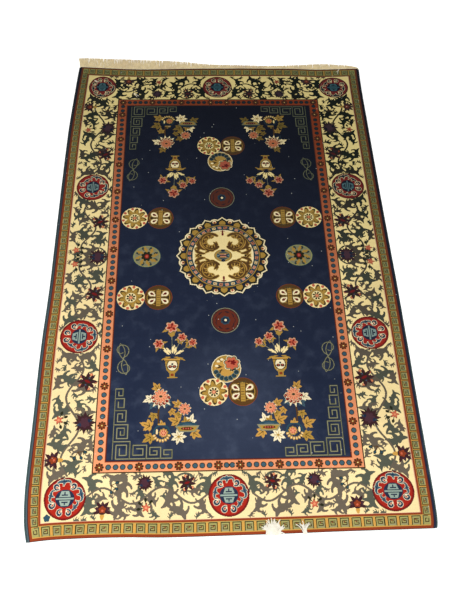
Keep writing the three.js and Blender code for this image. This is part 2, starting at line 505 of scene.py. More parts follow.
@dataclass
class Borders:
    """The carpet's frame: stripes, key fret, vine with roundels, and the spotted guard.

    Args:
        bands: Each stripe's dye, half width and half length, from the outside in.
        fret: How far the key fret's middle lies from the carpet's centre, across and along.
        fret_pitch: Length of one hook at the ends and at the sides.
        guard: How far the guard's middle lies from the carpet's centre, across and along.
        guard_step: Distance of its rosettes at the ends and at the sides.
        roundels: Place of each red roundel of a quarter, and of the one half way along an end.
        roundel_room: Radius that the vine keeps clear round each of them.
        hand: The weaver's hand.
    """

    bands: tuple[tuple[Dye, float, float], ...] = (
        (Dye.BINDING, 640, 990), (Dye.MAROON, 609, 974), (Dye.RUST, 606, 971),
        (Dye.GOLD, 599, 963.5), (Dye.OLIVE, 597.5, 960.5), (Dye.GOLD, 579.5, 932.5),
        (Dye.RUST, 576.5, 930.5), (Dye.PINK, 569.5, 925), (Dye.CREAM, 567, 923),
        (Dye.UMBER, 424, 785), (Dye.ORANGE, 420.5, 781.5), (Dye.RUST, 386, 751.5),
        (Dye.MAROON, 384, 749), (Dye.NAVY, 381.5, 746),
    )
    fret: Point = (587.0, 946.5)
    fret_pitch: Point = (36.2, 29.6)
    guard: Point = (401.5, 766.5)
    guard_step: Point = (122.5, 133.0)
    roundels: tuple[tuple[float, ...], ...] = ((-498, -857), (-497, -319, -90), (-4, -857))
    roundel_room: float = 64.0
    hand: np.random.Generator = field(default_factory=lambda: np.random.default_rng(5))

    def draw(self, chart: Chart) -> None:
        """Draw the whole frame, from the outside in."""
        chart.symmetry = Symmetry.NONE
        for dye, across, along in self.bands:
            chart.paint(dye, block(-across, across, -along, along))
        chart.symmetry = Symmetry.QUARTERS
        self._fret(chart)
        self._guard(chart)
        chart.symmetry = Symmetry.QUARTERS
        blossoms = self._blossoms()
        chart.ground = Dye.CREAM
        clear = [(*place[:2], self.roundel_room) for place in self.roundels]
        clear += [(*place[:2], room) for _, room, *place in blossoms]
        Vine(chart, tuple(clear), self.hand).grow()
        chart.ground = None
        for draw, _, *place in blossoms:
            draw(chart.motif(*place))
        *corner_and_side, end = self.roundels
        for place in corner_and_side:
            self._roundel(chart.motif(*place))
        chart.symmetry = Symmetry.ENDS
        self._roundel(chart.motif(*end))
        chart.symmetry = Symmetry.NONE
        chart.paint(Dye.TEAL, lobed(11, 2.5, 5, 20, x=-550, y=-911))
        # The right side's outer band is knotted navy, darker than the left's blue-grey binding: painted
        # shade along the right side.
        chart.paint(Dye.NAVY, block(609, 640, -990, 990))

    def _blossoms(self) -> tuple[tuple, ...]:
        """Every blossom of a quarter: its kind, the room it needs, its place, turn and size."""
        return (
            (self._palmette, 23, -458, -483, 20), (self._palmette, 23, -458, -155, 20),
            (self._palmette, 20, -131, -818, 60, 0.82), (self._thistle, 24, -457, -623, 0, 1.12),
            (self._thistle, 26, -457, 0, 0, 1.12), (self._thistle, 20, -260, -816, 10, 0.82),
            (self._berry, 15, -538, -613), (self._berry, 15, -538, -30),
            (self._berry, 14, -254, -889, 120, 0.95), (self._carnation, 22, -543, -741, 90, 0.9),
            (self._carnation, 20, -384, -893, 0, 0.86), (self._sloes, 0, -470, -716, -60),
            (self._sloes, 0, -362, -822, -30, 0.9),
        )

    def _fret(self, chart: Chart) -> None:
        """Square hooks along all four sides, with a plain square at each corner."""
        lengths = (self.fret[0] - 15, self.fret[1] - 13.5)
        for axis, (length, pitch) in enumerate(zip(lengths, self.fret_pitch)):
            count = round(length / pitch)
            for unit in range(count):
                at = -(unit + 0.5) * length / count
                place = (at, -self.fret[1]) if axis == 0 else (-self.fret[0], at, -90)
                self._fret_unit(chart.motif(*place), length / count / 2, 1 - 0.2 * axis)
        chart.motif(-self.fret[0], -self.fret[1]).paint(
            Dye.MOSS, stroke([(-2, 12), (11, 12), (11, -13)], 3),
            Dye.UMBER, stroke([(-5, 4), (-5, -6), (5, -6), (5, 4), (0, 4)], 2.4))

    @staticmethod
    def _fret_unit(brush: Brush, half: float, size: float) -> None:
        """One square hook with a gold bar on each side of it."""
        wide, rise = half - (5.2 if size == 1 else 2.6), 13.0 * size
        brush.around(2).paint(Dye.GOLD, block(wide - 1, half + 1, -rise, rise))
        frame_line = [(-wide, -rise), (-wide, rise - 1.5), (wide, rise - 1.5), (wide, -rise)]
        hook = [(-0.55, 0.45), (0.5, 0.45), (0.5, -0.45), (-0.5, -0.45), (-0.5, 0.0), (0.1, 0.0)]
        brush.paint(
            Dye.INK, stroke(frame_line, 2.6),
            Dye.SAGE, block(3 - wide, wide - 3, 1 - rise, 4 - rise),
            block(3 - wide, 5 - wide, -rise, rise - 5),
            Dye.UMBER if size == 1 else Dye.MOSS, stroke([(x * wide, y * rise - 1) for x, y in hook], 2.4),
            Dye.RUST, disc(1.8, 0.1 * wide, 0.12 * rise))

    def _guard(self, chart: Chart) -> None:
        """Rosettes with blue spots between them, as the weaver ran them in: from the near corners."""
        across, along = self.guard
        self._guard_run(chart, [(k * self.guard_step[0] - across, -along) for k in range(4)], 0)
        self._spot(chart, -9, -along)
        chart.symmetry = Symmetry.SIDES
        stops = [(-across, k * self.guard_step[1] - along) for k in range(12)]
        self._guard_run(chart, stops, 1)
        for step in (-12, 12):
            self._spot(chart, -across, (stops[-1][1] + along) / 2 + step)

    def _guard_run(self, chart: Chart, stops: list[Point], first: int) -> None:
        """A row of brown eight-petalled rosettes with four spots between each two."""
        for k, (x, y) in enumerate(stops[first:]):
            brush = chart.motif(x, y, 8 * k)
            brush.paint(Dye.UMBER, lobed(14.5, 4.5, 8, sharp=0.7), Dye.RUST, lobed(11.5, 3, 8, 22.5))
            brush.around(8).paint(Dye.UMBER, disc(2.2, 8.5))
            brush.paint(Dye.UMBER, disc(5), Dye.GOLD, disc(3), Dye.CREAM, disc(1.3))
        for (ax, ay), (bx, by) in zip(stops, stops[1:]):
            for share in (0.225, 0.41, 0.59, 0.775):
                self._spot(chart, ax + share * (bx - ax), ay + share * (by - ay))

    @staticmethod
    def _spot(chart: Chart, x: float, y: float) -> None:
        """A blue spot of the guard, with its darker rim."""
        chart.motif(x, y).paint(Dye.UMBER, disc(9), Dye.INK, disc(8), Dye.STEEL, disc(6.6))

    def _roundel(self, brush: Brush) -> None:
        """A red roundel: a ring of cloud scrolls and bats round a plain barred ornament."""
        brush.paint(Dye.MAROON, disc(62.5), Dye.GARNET, disc(61), Dye.RED, disc(56.5))
        for turn, size in ((96, 1.12), (14, 1.1), (-38, 0.9), (168, 0.95)):
            self._bat(brush.turned(turn, size=size))
        for turn, is_flipped in ((55, False), (128, True), (208, True), (250, False), (288, True)):
            cloud = brush.turned(turn)
            self._cloud(cloud.flipped() if is_flipped else cloud)
        brush.paint(Dye.NAVY, oval(28.5, 26))
        brush.around(2).paint(
            Dye.AQUA, polygon((-17, 5), (17, 5), (11, 22), (-11, 22)),
            Dye.NAVY, block(-9.5, 9.5, 8.6, 12.6), block(-1.9, 1.9, 11, 19))
        brush.paint(Dye.AQUA, block(-26, 26, -2.3, 2.3))

    @staticmethod
    def _bat(brush: Brush) -> None:
        """A small winged figure, its head towards the roundel's rim."""
        wings = [[(44, 0), (46, s * 9), (42, s * 17), (33, s * 17)] for s in (-1, 1)]
        for dye, rim in ((Dye.IVORY, 2.2), (Dye.STEEL, 0.0)):
            brush.paint(dye, *(sweep(wing, 8 + rim, 7 + rim, 4.5 + rim, 1.5 + rim) for wing in wings),
                        oval(6 + rim / 2, 4 + rim / 2, 46), stroke([(42, 0), (34, 2)], 7 + rim, 2 + rim))
        brush.paint(Dye.NAVY, sweep([(44, -9), (45, 0), (43, 10)], 1, 3, 1))

    @staticmethod
    def _cloud(brush: Brush) -> None:
        """A cloud scroll between two winged figures."""
        for dye, rim in ((Dye.IVORY, 0.0), (Dye.STEEL, 2.6), (Dye.NAVY, 5.2)):
            brush.paint(dye, curl(43, 10, -180, 110, 6 - rim, 9.6 - rim, 7 - rim, y=2))
        brush.paint(Dye.IVORY, disc(2.4, 37, 5))

    @staticmethod
    def _palmette(brush: Brush) -> None:
        """A dark star-shaped blossom, with orange buds between its points."""
        brush.around(5, 45).paint(Dye.RUST, disc(5.6, 26), Dye.ORANGE, disc(4, 26))
        brush.around(8, 22.5).paint(Dye.MAROON, bud(34, 15))
        brush.paint(Dye.MAROON, disc(17))
        brush.around(4).paint(Dye.INK, oval(5, 3.4, 13))
        brush.paint(Dye.GARNET, oval(10, 4, turn=-45))
        brush.around(2, 45).paint(Dye.STEEL, oval(2, 3, 13))

    @staticmethod
    def _thistle(brush: Brush) -> None:
        """A spiky purple blossom with a paler heart."""
        brush.around(8).paint(Dye.MAROON, bud(34, 13))
        brush.around(8, 22.5).paint(Dye.INK, bud(29, 11))
        brush.paint(Dye.MAROON, disc(21), Dye.PLUM, lobed(16, 5, 7, 20))
        brush.around(2, 25).paint(Dye.NAVY, oval(4, 6, 14))
        brush.around(2).paint(Dye.STEEL, disc(2, 18, 6))

    @staticmethod
    def _carnation(brush: Brush) -> None:
        """A blossom of dark pointed petals round a red heart, with a gold drop beneath."""
        brush.at(0, -16, -90).paint(Dye.GOLD, bud(19, 15))
        for first, count, length in ((-24, 4, 36), (14, 3, 30)):
            brush.around(count, first, 76).paint(Dye.MAROON, bud(length, 15))
        brush.paint(Dye.MAROON, disc(17), Dye.RUST, lobed(13, 4, 5, 90), Dye.CORAL, oval(4.4, 3.6, 0, -3),
                    Dye.PLUM, oval(2.6, 6, 0, 19), oval(3, 7, 18, 1), oval(3, 7, -18, 1))

    @staticmethod
    def _berry(brush: Brush) -> None:
        """A small orange flower with four dark drops."""
        brush.turned(-70, -25, 25, 70).paint(Dye.INK, bar(4, 20, 2.4), oval(6.5, 4.4, 24))
        brush.around(5, 36).paint(Dye.RUST, bud(16, 8))
        brush.paint(Dye.CORAL, lobed(11, 4, 5, 36), Dye.ORANGE, disc(4))

    @staticmethod
    def _sloes(brush: Brush) -> None:
        """Three small blue berries on thin brown stems."""
        for side in (-1, 0, 1):
            brush.turned(48 * side).paint(
                Dye.BROWN, stroke(arc(20, 24 * side), 2.6, 2), Dye.INK, oval(7, 5, 22, 3 * side),
                Dye.TEAL, oval(4.6, 2.8, 22, 3 * side))


# --- The field ------------------------------------------------------------------------------------

@dataclass
class Field:
    """What lies on the navy field: medallion, roundels, vases, sprays and corner frets.

    Args:
        medallion_radius: From the medallion's centre to the tips of its rim.
        fret_corner: Where the two arms of a corner fret meet.
        fret_gap: Distance from one spiral of a corner fret to the next.
    """

    medallion_radius: float = 173.0
    fret_corner: Point = (-364.0, -741.0)
    fret_gap: float = 10.0

    def draw(self, chart: Chart) -> None:
        """Draw the whole field."""
        chart.symmetry = Symmetry.QUARTERS
        self._corner_fret(chart)
        self._ribbons(chart.motif(-345, -405, 12, 1.08))
        self._spray(chart)
        self._vase(chart.motif(-181, -400))
        self._star_roundel(chart.motif(-330, -171, 10))
        self._moth_roundel(chart.motif(-233, -171))
        chart.symmetry = Symmetry.SIDES
        self._green_roundel(chart.motif(-279, 0))
        chart.symmetry = Symmetry.ENDS
        self._plain_roundel(chart.motif(1, -265))
        self._sea_roundel(chart.motif(-1, -445))
        self._star_roundel(chart.motif(-44, -527, 4, 0.96))
        self._moth_roundel(chart.motif(51, -527))
        chart.symmetry = Symmetry.NONE
        self._medallion(chart.motif(0, 1))

    def _corner_fret(self, chart: Chart) -> None:
        """Square spirals that grow towards the corner, along both of its sides."""
        upright, level = chart.motif(*self.fret_corner, 90), chart.motif(*self.fret_corner).flipped()
        for run, start, sizes in ((upright, 0.0, (54, 45, 37, 30, 24)), (level, 64.0, (42, 34, 26))):
            for size in sizes:
                line = [(start - self.fret_gap if start else 0.0, 0.0)]
                line += [(start + x, -y) for x, y in square_spiral(size, 11)]
                run.paint(Dye.MOSS, stroke(line, 5), Dye.SAGE, stroke(line, 2.2))
                start += size + self.fret_gap

    @staticmethod
    def _ribbons(brush: Brush) -> None:
        """A thin knotted ribbon that floats beside the roundels: two loops and four tails."""
        for dye, wide in ((Dye.MOSS, 3.6), (Dye.SAGE, 1.6)):
            brush.turned(90, 270).paint(dye, curl(30, 26, 180, 560, wide))
            for bend in (-76, 76):
                brush.turned(90 - bend / 2, 270 - bend / 2).paint(
                    dye, stroke(arc(58, bend), wide, wide, 0.6 * wide))

    @staticmethod
    def _peony(brush: Brush, lobes: int) -> None:
        """A many-petalled salmon flower seen from above."""
        for dye, radius, depth in ((Dye.IVORY, 30, 10), (Dye.CORAL, 27.5, 9)):
            brush.paint(dye, lobed(radius, depth, lobes, 10, 1.4))
        brush.around(lobes, 10).paint(Dye.SALMON, oval(8, 2.8, 16))
        brush.paint(Dye.SALMON, disc(10), Dye.MOSS, oval(6, 4.5), Dye.UMBER, oval(3, 2.2))

    def _spray(self, chart: Chart) -> None:
        """Peonies, leaves, a round jar and a boat-shaped bowl in the corner of the field."""
        large = chart.motif(-217, -539, 0, 0.9)
        small = chart.motif(-139, -583, 0, 0.72)
        jar = chart.motif(-212, -661)
        bowl = chart.motif(-131, -643)
        large.at(0, -10, -104).paint(Dye.BROWN, stroke(arc(104, 24), 4, 6, 5))
        small.at(0, -8, -140).paint(Dye.BROWN, stroke(arc(92, 40), 3, 5, 4))
        for brush, turn, far, size, dye in (
                (large, 112, 30, 1.0, Dye.STRAW), (large, 192, 34, 1.05, Dye.IVORY),
                (large, 226, 34, 0.9, Dye.STEEL), (large, 250, 70, 0.95, Dye.OCHRE),
                (large, 304, 66, 0.85, Dye.STRAW), (large, 312, 30, 0.8, Dye.STEEL),
                (small, 142, 32, 1.15, Dye.STRAW), (small, 222, 30, 0.95, Dye.OCHRE),
                (jar, 148, 42, 1.15, Dye.STRAW), (jar, 200, 34, 1.05, Dye.OCHRE),
                (jar, 88, 22, 0.7, Dye.STRAW), (bowl, 148, 34, 1.1, Dye.STRAW),
                (bowl, 58, 16, 1.0, Dye.IVORY), (bowl, 96, 12, 0.8, Dye.OCHRE),
                (bowl, -44, 26, 1.0, Dye.STRAW)):
            self._broad_leaf(brush.turned(turn).at(far, 0, 12, size), dye)
        large.around(5, 208, 27).at(28, 0).paint(Dye.IVORY, bud(20, 8))
        for k in range(7):
            large.turned(188 + 27 * k).paint(
                Dye.IVORY, disc(8.2, 28), Dye.GARNET, disc(7, 28), Dye.CORAL, disc(2, 30, 1))
        self._peony(large, 11)
        self._peony(small, 10)
        self._jar(jar)
        bloom = chart.motif(-158, -674)
        bloom.around(7).paint(Dye.IVORY, bud(26, 13), Dye.OCHRE, bar(4, 13, 2))
        bloom.paint(Dye.OCHRE, disc(4))
        self._bowl(bowl)

    @staticmethod
    def _broad_leaf(brush: Brush, dye: Dye) -> None:
        """A broad leaf of five pointed lobes with dark ribs, growing along +x."""
        root = brush.at(2, 0)
        for turns, length, width in (((-108, 108), 15, 10), ((-54, 54), 22, 13), ((0,), 30, 15)):
            root.turned(*turns).paint(dye, bud(length, width))
        for turns, rib in (((-54, 54), 12), ((0,), 19)):
            root.turned(*turns).paint(Dye.UMBER, bar(0, rib, 2, 1.2))

    @staticmethod
    def _jar(brush: Brush) -> None:
        """A round blue jar with gold beads below and a dotted rosette on its belly."""
        brush.paint(Dye.TEAL, disc(28), Dye.NAVY, oval(22, 20, 0, 2))
        brush.around(8, 200, 20).paint(Dye.GOLD, oval(5.6, 4, 25), Dye.CREAM, oval(2.8, 1.8, 25))
        brush.paint(Dye.OCHRE, lobed(15, 2.5, 9, 10, x=6), Dye.SALMON, lobed(11.5, 2.5, 8, x=6))
        brush.at(6, 0).around(6).paint(Dye.RED, disc(1.9, 6.5))
        brush.paint(Dye.CREAM, oval(3.5, 9, -15, 4), Dye.GOLD, block(-12, 12, 25, 30))

    @staticmethod
    def _bowl(brush: Brush) -> None:
        """A blue boat-shaped bowl with a gold hull and red beads."""
        brush.paint(
            Dye.TEAL, oval(32, 11, 0, 6), Dye.STEEL, oval(16, 4, 0, 7),
            Dye.SAGE, polygon((-39, 5), (39, 5), (27, -16), (-27, -16)),
            Dye.OCHRE, polygon((-32, 1), (32, 1), (24, -12), (-24, -12)), Dye.UMBER, oval(20, 5, 0, -5))
        for x in (-12, -4, 4, 12):
            brush.at(x, -5).paint(Dye.RED, disc(3.2), Dye.PINK, disc(1.2, 0, 0.6))

    def _vase(self, brush: Brush) -> None:
        """A gold vase with a leafy crown, and four blossoms on stems above it."""
        for turn, far, size in ((92, 112, 0.95), (66, 80, 0.7), (134, 68, 0.78), (38, 86, 0.66)):
            stem = brush.turned(turn)
            stem.paint(Dye.SAGE, bar(16, far, 2))
            for side in (-1, 1):
                stem.at(0.66 * far, 0, 42 * side).paint(Dye.OCHRE, saw_leaf(26, 9, -30 * side))
            self._blossom(stem.at(far, 0, -90 + 20 * (turn < 90), size), 23)
        for dye, turns, start, length, width, bend in (
                (Dye.CREAM, (40, 90, 140), 12, 34, 13, -24), (Dye.CREAM, (65, 115), 12, 27.88, 13, 24),
                (Dye.OCHRE, (-6,), 4, 42, 11, -24), (Dye.OCHRE, (186,), 4, 34.44, 11, 24)):
            brush.turned(*turns).at(start, 0).paint(dye, saw_leaf(length, width, bend))
        brush.paint(
            Dye.OCHRE, polygon((-25, -12), (25, -12), (20, -46), (10, -58), (-10, -58), (-20, -46)),
            Dye.UMBER, oval(19, 21, 0, -30), Dye.IVORY, oval(16, 19, 0, -30),
            Dye.MAROON, oval(6.5, 5.5, -7, -35), oval(6.5, 5.5, 7, -35),
            Dye.CORAL, oval(3, 2.2, -7, -34), oval(3, 2.2, 7, -34), Dye.NAVY, disc(3.6, 0, -26),
            Dye.OCHRE, block(-9, 9, -72, -56), block(-17, 17, -76, -72), Dye.RUST, block(-5, 5, -69, -60),
            Dye.GOLD, block(-26, 26, -12, -6), Dye.UMBER, block(-25, 25, -14.5, -12))

    @staticmethod
    def _blossom(brush: Brush, size: float) -> None:
        """A salmon blossom with pointed petals, dark red marks and small leaves beneath it."""
        brush.around(3, -150, 60).paint(Dye.OCHRE, bud(1.75 * size, 0.62 * size))
        for dye, radius, depth in ((Dye.BROWN, 1.12, 0.36), (Dye.PINK, 1.02, 0.34), (Dye.CORAL, 0.84, 0.3)):
            brush.paint(dye, lobed(radius * size, depth * size, 6, 75, 1.2))
        for turn, far in ((80, 0.42), (200, 0.4), (320, 0.45)):
            brush.turned(turn).paint(Dye.GARNET, oval(0.27 * size, 0.17 * size, far * size))
        brush.paint(Dye.GARNET, disc(0.14 * size))

    @staticmethod
    def _star_roundel(brush: Brush) -> None:
        """A cream roundel with a gold star-flower and salmon beads at the rim."""
        brush.paint(Dye.CREAM, disc(49))
        brush.around(8, 22.5).paint(Dye.CORAL, disc(5.6, 43))
        brush.paint(Dye.UMBER, lobed(46, 19, 8, 0, 1.5), Dye.OCHRE, lobed(41, 17, 8, 0, 1.3))
        brush.around(8).paint(Dye.UMBER, sweep([(40, 0), (33, -5), (24, -2)], 2.6, 2.2, 1.2))
        brush.paint(Dye.SAGE, disc(20), Dye.CREAM, disc(18.5))
        brush.around(8, 10).paint(Dye.INK, oval(4.4, 3.4, 12))
        brush.paint(Dye.RUST, disc(7.5), Dye.SALMON, disc(5))

    @staticmethod
    def _moth_roundel(brush: Brush) -> None:
        """A brown roundel with a moth of four pale wings."""
        brush.paint(Dye.RUST, disc(49), Dye.BROWN, disc(47.5), Dye.OCHRE, oval(41, 31),
                    Dye.UMBER, oval(38.5, 28.5))
        for turn in (32, -32, 148, -148):
            wing = brush.turned(turn)
            for dye, grown in ((Dye.OCHRE, 2.6), (Dye.INK, 1.2), (Dye.IVORY, 0.0)):
                wing.paint(dye, oval(11.5 + grown, 10 + grown, 29),
                           bar(9, 27, 4 + 2 * grown, 17 + 2 * grown))
            wing.paint(Dye.GARNET, oval(6.5, 4.6, 28), bar(18, 27, 2, 7), Dye.UMBER, oval(3, 2, 30))
        brush.paint(Dye.BROWN, block(-11, 11, -36, 36), Dye.OCHRE, block(-7.5, 7.5, -34, 34), Dye.BROWN,
                    *(block(-5.5, 5.5, 9 * rung - 0.9, 9 * rung + 0.9) for rung in range(-3, 4)),
                    Dye.MOSS, stroke([(-12, 38), (-5, 31), (0, 36), (5, 31), (12, 38)], 2.4))

    @staticmethod
    def _plain_roundel(brush: Brush) -> None:
        """A red-brown roundel with a blue heart."""
        brush.paint(
            Dye.SAGE, disc(49), Dye.MAROON, disc(46.5), Dye.BRICK, lobed(44, 2, 9),
            Dye.MAROON, lobed(36, 4, 9), Dye.BRICK, lobed(33, 4, 7), Dye.TEAL, lobed(17, 2.5, 7),
            Dye.NAVY, lobed(12, 2, 6), Dye.IVORY, disc(4.6, 1, 1))

    @staticmethod
    def _green_roundel(brush: Brush) -> None:
        """A green roundel with a wreath of gold petals and a red heart."""
        brush.paint(Dye.TEAL, oval(51.5, 47.5), Dye.OLIVE, oval(49, 45), Dye.SAGE, oval(46, 42))
        brush.around(8, 22.5).paint(Dye.MOSS, oval(8, 5, 35))
        brush.around(8).at(16, 0, 10).paint(Dye.OCHRE, saw_leaf(28, 17, 30))
        brush.around(8, 22.5).paint(Dye.TEAL, disc(3, 37))
        brush.paint(Dye.INK, lobed(21, 5, 8, 22.5), Dye.RED, oval(8, 9), Dye.CORAL, oval(4, 5))

    @staticmethod
    def _sea_roundel(brush: Brush) -> None:
        """A gold roundel with a coral cloud over rows of blue wave crests."""
        brush.paint(Dye.IVORY, disc(49.5), Dye.OCHRE, disc(47), Dye.GOLD, oval(34, 34, -6, 4))
        for dye, size in ((Dye.IVORY, 29), (Dye.TEAL, 27), (Dye.OCHRE, 24.5), (Dye.CORAL, 22.5)):
            brush.paint(dye, lobed(size, 6, 7, 15, x=19, y=19))
        brush.turned(150, 190, 330).at(12, 0, 20).paint(Dye.UMBER, saw_leaf(24, 9, 50))
        brush.paint(Dye.GARNET, lobed(10, 4, 5, x=24, y=22), oval(6, 3, 10, 26, 30))
        for wave in range(7):
            brush.turned(200 + 23 * wave).paint(
                Dye.SAGE, disc(9.6, 36), Dye.TEAL, disc(8.2, 36), Dye.INK, curl(36, 5, 0, 300, 2.6, 2))
        for x, y in ((-26, 26), (-32, 10), (-14, 33)):
            brush.at(x - 7, y, 30).paint(Dye.MOSS, stroke(arc(20, -60), 2.6))
            brush.paint(Dye.IVORY, oval(5.6, 4, x, y))

    def _medallion(self, brush: Brush) -> None:
        """The great wheel at the centre: petal rim, beaded ring and leafy scrolls."""
        brush.paint(Dye.INK, self._rim(-2), Dye.IVORY, self._rim(0), Dye.INK, self._rim(5.2),
                    Dye.NAVY, self._rim(10.5))
        brush.around(16).paint(
            Dye.INK, oval(15, 14.5, 145), Dye.OCHRE, oval(12.5, 12, 143), bar(150, 157, 8, 2))
        brush.around(16, 11.25).paint(
            Dye.GOLD, disc(8, 151), Dye.IVORY, disc(6.5, 152.5), Dye.CORAL, disc(4.2, 150),
            Dye.UMBER, disc(2.2, 148), bar(141, 134, 8, 5))
        brush.paint(Dye.INK, disc(137.5), Dye.OCHRE, disc(135), Dye.TEAL, disc(131.5))
        for first, bead, heart in ((5, Dye.PINK, Dye.CORAL), (15, Dye.CREAM, Dye.RUST),
                                   (25, Dye.SALMON, Dye.MAROON)):
            brush.around(12, first).paint(
                bead, block(118, 128, -6.4, 6.4),
                heart, block(119.5, 126.5, -4.6, -1.2), block(119.5, 126.5, 1.2, 4.6))
        brush.paint(Dye.INK, disc(115), Dye.IVORY, disc(112.5), Dye.CREAM, disc(107))
        halves = brush.turned(0, 180, size=1.06)
        self._scrolls(halves)
        self._scrolls(halves.flipped())
        brush.paint(Dye.UMBER, oval(33, 26.5), Dye.OCHRE, oval(31.5, 25.5), Dye.SAGE, oval(25, 19),
                    Dye.TEAL, oval(23, 17), Dye.MAROON, block(-12, 12, -1.4, 1.4))
        brush.around(2).paint(
            Dye.OCHRE, block(-18, 18, 8, 11), Dye.SALMON, block(-11, 11, 2.5, 5.5),
            Dye.AQUA, disc(3, 19), Dye.NAVY, oval(8, 5, 0, 22))

    def _rim(self, shift: float) -> Shape:
        """The medallion's outline: sixteen pointed arches with a low round one between each two."""
        radius = self.medallion_radius - shift

        def holds(u: np.ndarray, v: np.ndarray) -> np.ndarray:
            """Tell which points lie inside."""
            phase = np.abs(((np.degrees(np.arctan2(v, u)) / 22.5) % 1) - 0.5) * 2
            point = radius - 21 * (1 - phase) ** 0.8
            bump = radius - 8 - 26 * np.clip(phase, 0, 1) ** 2
            return np.hypot(u, v) <= np.maximum(point, bump)

        return Shape(holds, 0, 0, radius + 1)

    @staticmethod
    def _scrolls(brush: Brush) -> None:
        """One quarter of the scrolls in the medallion: a great curling leaf with veins, and small ones."""
        great = arc(150, -268, 16)
        for dye, rim in ((Dye.OCHRE, 0.0), (Dye.BROWN, 5.0)):
            brush.at(20, 82, 40).paint(dye, stroke(great, 11 - rim, 22 - rim, 21 - rim, 11 - rim / 2))
            brush.at(41, 57).around(9, 110, -27).at(26, 0, 200).paint(dye, bud(16 - rim, 10 - rim / 2))
            for x, y, turn, length, bend, width in (
                    (58, 24, 26, 54, 76, 24), (64, 9, -4, 40, 62, 14), (26, 28, 118, 30, -80, 13),
                    (88, 17, 100, 44, 34, 15), (34, 20, 8, 28, 60, 13)):
                leaf = brush.at(x, y, turn)
                leaf.paint(dye, stroke(arc(length, bend), 8 - rim, width - rim, width - rim, 5 - rim / 2))
                leaf.at(0.45 * length, 0, -40).paint(dye, bud(22 - rim, 11 - rim))
        brush.at(20, 82, 40).paint(Dye.OCHRE, stroke(great[2:15], 1.4, 3.4, 3.0, 1.4))
        brush.at(41, 57).around(5, 96, -40).at(28, 3, 160).paint(Dye.GOLD, bud(11, 4))
        brush.at(60, 26, 28).paint(Dye.GOLD, stroke(arc(44, 70, 8), 1.5, 5, 2))
        brush.paint(Dye.UMBER, disc(4.2, 78), Dye.GARNET, stroke([(0, 103), (0, 86)], 5, 7),
                    block(-8, 8, 100, 103))


# --- The carpet's outline -------------------------------------------------------------------------

class Edge:
    """One edge of the carpet: how far out it lies, read between its rows on a smooth curve."""

    def __init__(self, places: Sequence[float], values: Sequence[float]) -> None:
        """Keep the rows and the curve's slope at each of them."""
        self.places = np.array(places, float)
        self.values = np.array(values, float)
        run = np.arange(len(self.places))
        before, after = np.maximum(run - 1, 0), np.minimum(run + 1, len(run) - 1)
        self.slopes = ((self.values[after] - self.values[before])
                       / (self.places[after] - self.places[before]))

    def __call__(self, place: np.ndarray) -> np.ndarray:
        """The edge's value at any places."""
        row = np.clip(np.searchsorted(self.places, place) - 1, 0, len(self.places) - 2)
        span = self.places[row + 1] - self.places[row]
        t = np.clip((place - self.places[row]) / span, 0, 1)
        rise = ((1 + 2 * t) * (1 - t) ** 2 * self.values[row]
                + t * t * (3 - 2 * t) * self.values[row + 1])
        bend = t * (1 - t) ** 2 * self.slopes[row] - t * t * (1 - t) * self.slopes[row + 1]
        return rise + span * bend


SIDE_ROWS = (-980, -952, -915, -830, -610, -366, -122, 244, 610, 854, 980)
END_COLUMNS = (-625, -603, -537, -439, -317, -195, 0, 195, 317, 427, 537, 626)


@dataclass
class Outline:
    """The carpet's uneven outline in millimetres, and its place in the model's own frame.

    Args:
        cord: How much of each side is cord.
        half_width: Half the knotted cloth's width, as the chart has it.
        half_length: Half its length.
        fade: How far in from an edge the knots still follow it.
        left: The left side, from the near end to the far end.
        right: The right side.
        near: The plain end, from left to right.
        far: The end with the fringe.
        origin: Where the carpet's centre lies, in metres.
    """

    cord: float = 6.4
    half_width: float = 613.6
    half_length: float = 972.0
    fade: float = 185.0
    left: Edge = Edge(SIDE_ROWS, (-601, -608, -615, -622, -623, -625, -620, -620, -618, -609, -603))
    right: Edge = Edge(SIDE_ROWS, (613, 621, 624, 625, 625, 626, 626, 623, 622, 622, 625))
    near: Edge = Edge(
        END_COLUMNS, (-982, -981, -975, -972, -972, -975, -974, -972, -970, -969, -968, -967))
    far: Edge = Edge(END_COLUMNS, (981, 980, 975, 968, 964, 967, 970, 970, 969, 964, 967, 971))
    origin: Point = (0.0, 0.0)

    def __post_init__(self) -> None:
        """Find where the carpet's centre lies, from the box of its model."""
        low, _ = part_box("carpet")
        along = np.arange(-960.0, 961.0, 40.0)
        across = np.append(np.arange(-600.0, 601.0, 40.0), -602.0)
        self.origin = (low.x - MILLI * float(self.left(along).min() + self.cord),
                       low.y - MILLI * float(self.near(across).min()))

    def settle(self, x: np.ndarray, y: np.ndarray) -> tuple[np.ndarray, np.ndarray]:
        """Move points of the chart's true rectangle to where they lie in the uneven carpet.

        Args:
            x: Millimetres across from the centre.
            y: Millimetres along from the centre.

        Returns:
            The same points in metres, in the model's frame.
        """
        out_x, out_y = x, y
        for _ in range(3):
            sides = (self._pull(-x, self.half_width) * (self.left(out_y) + self.cord + self.half_width)
                     + self._pull(x, self.half_width) * (self.right(out_y) - self.cord - self.half_width))
            ends = (self._pull(-y, self.half_length) * (self.near(out_x) + self.half_length)
                    + self._pull(y, self.half_length) * (self.far(out_x) - self.half_length))
            out_x, out_y = x + sides, y + ends
        return self.origin[0] + MILLI * out_x, self.origin[1] + MILLI * out_y

    def _pull(self, outwards: np.ndarray, half: float) -> np.ndarray:
        """How much a point follows the edge it is near: all of it there, and none further in."""
        t = np.clip((outwards - half + self.fade) / self.fade, 0, 1)
        return t * t * (3 - 2 * t)

    def points(self, x: np.ndarray, y: np.ndarray, z: np.ndarray) -> np.ndarray:
        """Points given in millimetres from the carpet's centre, in the model's frame."""
        return np.stack([self.origin[0] + MILLI * x, self.origin[1] + MILLI * y, MILLI * z], axis=-1)


# --- Shader maths ---------------------------------------------------------------------------------

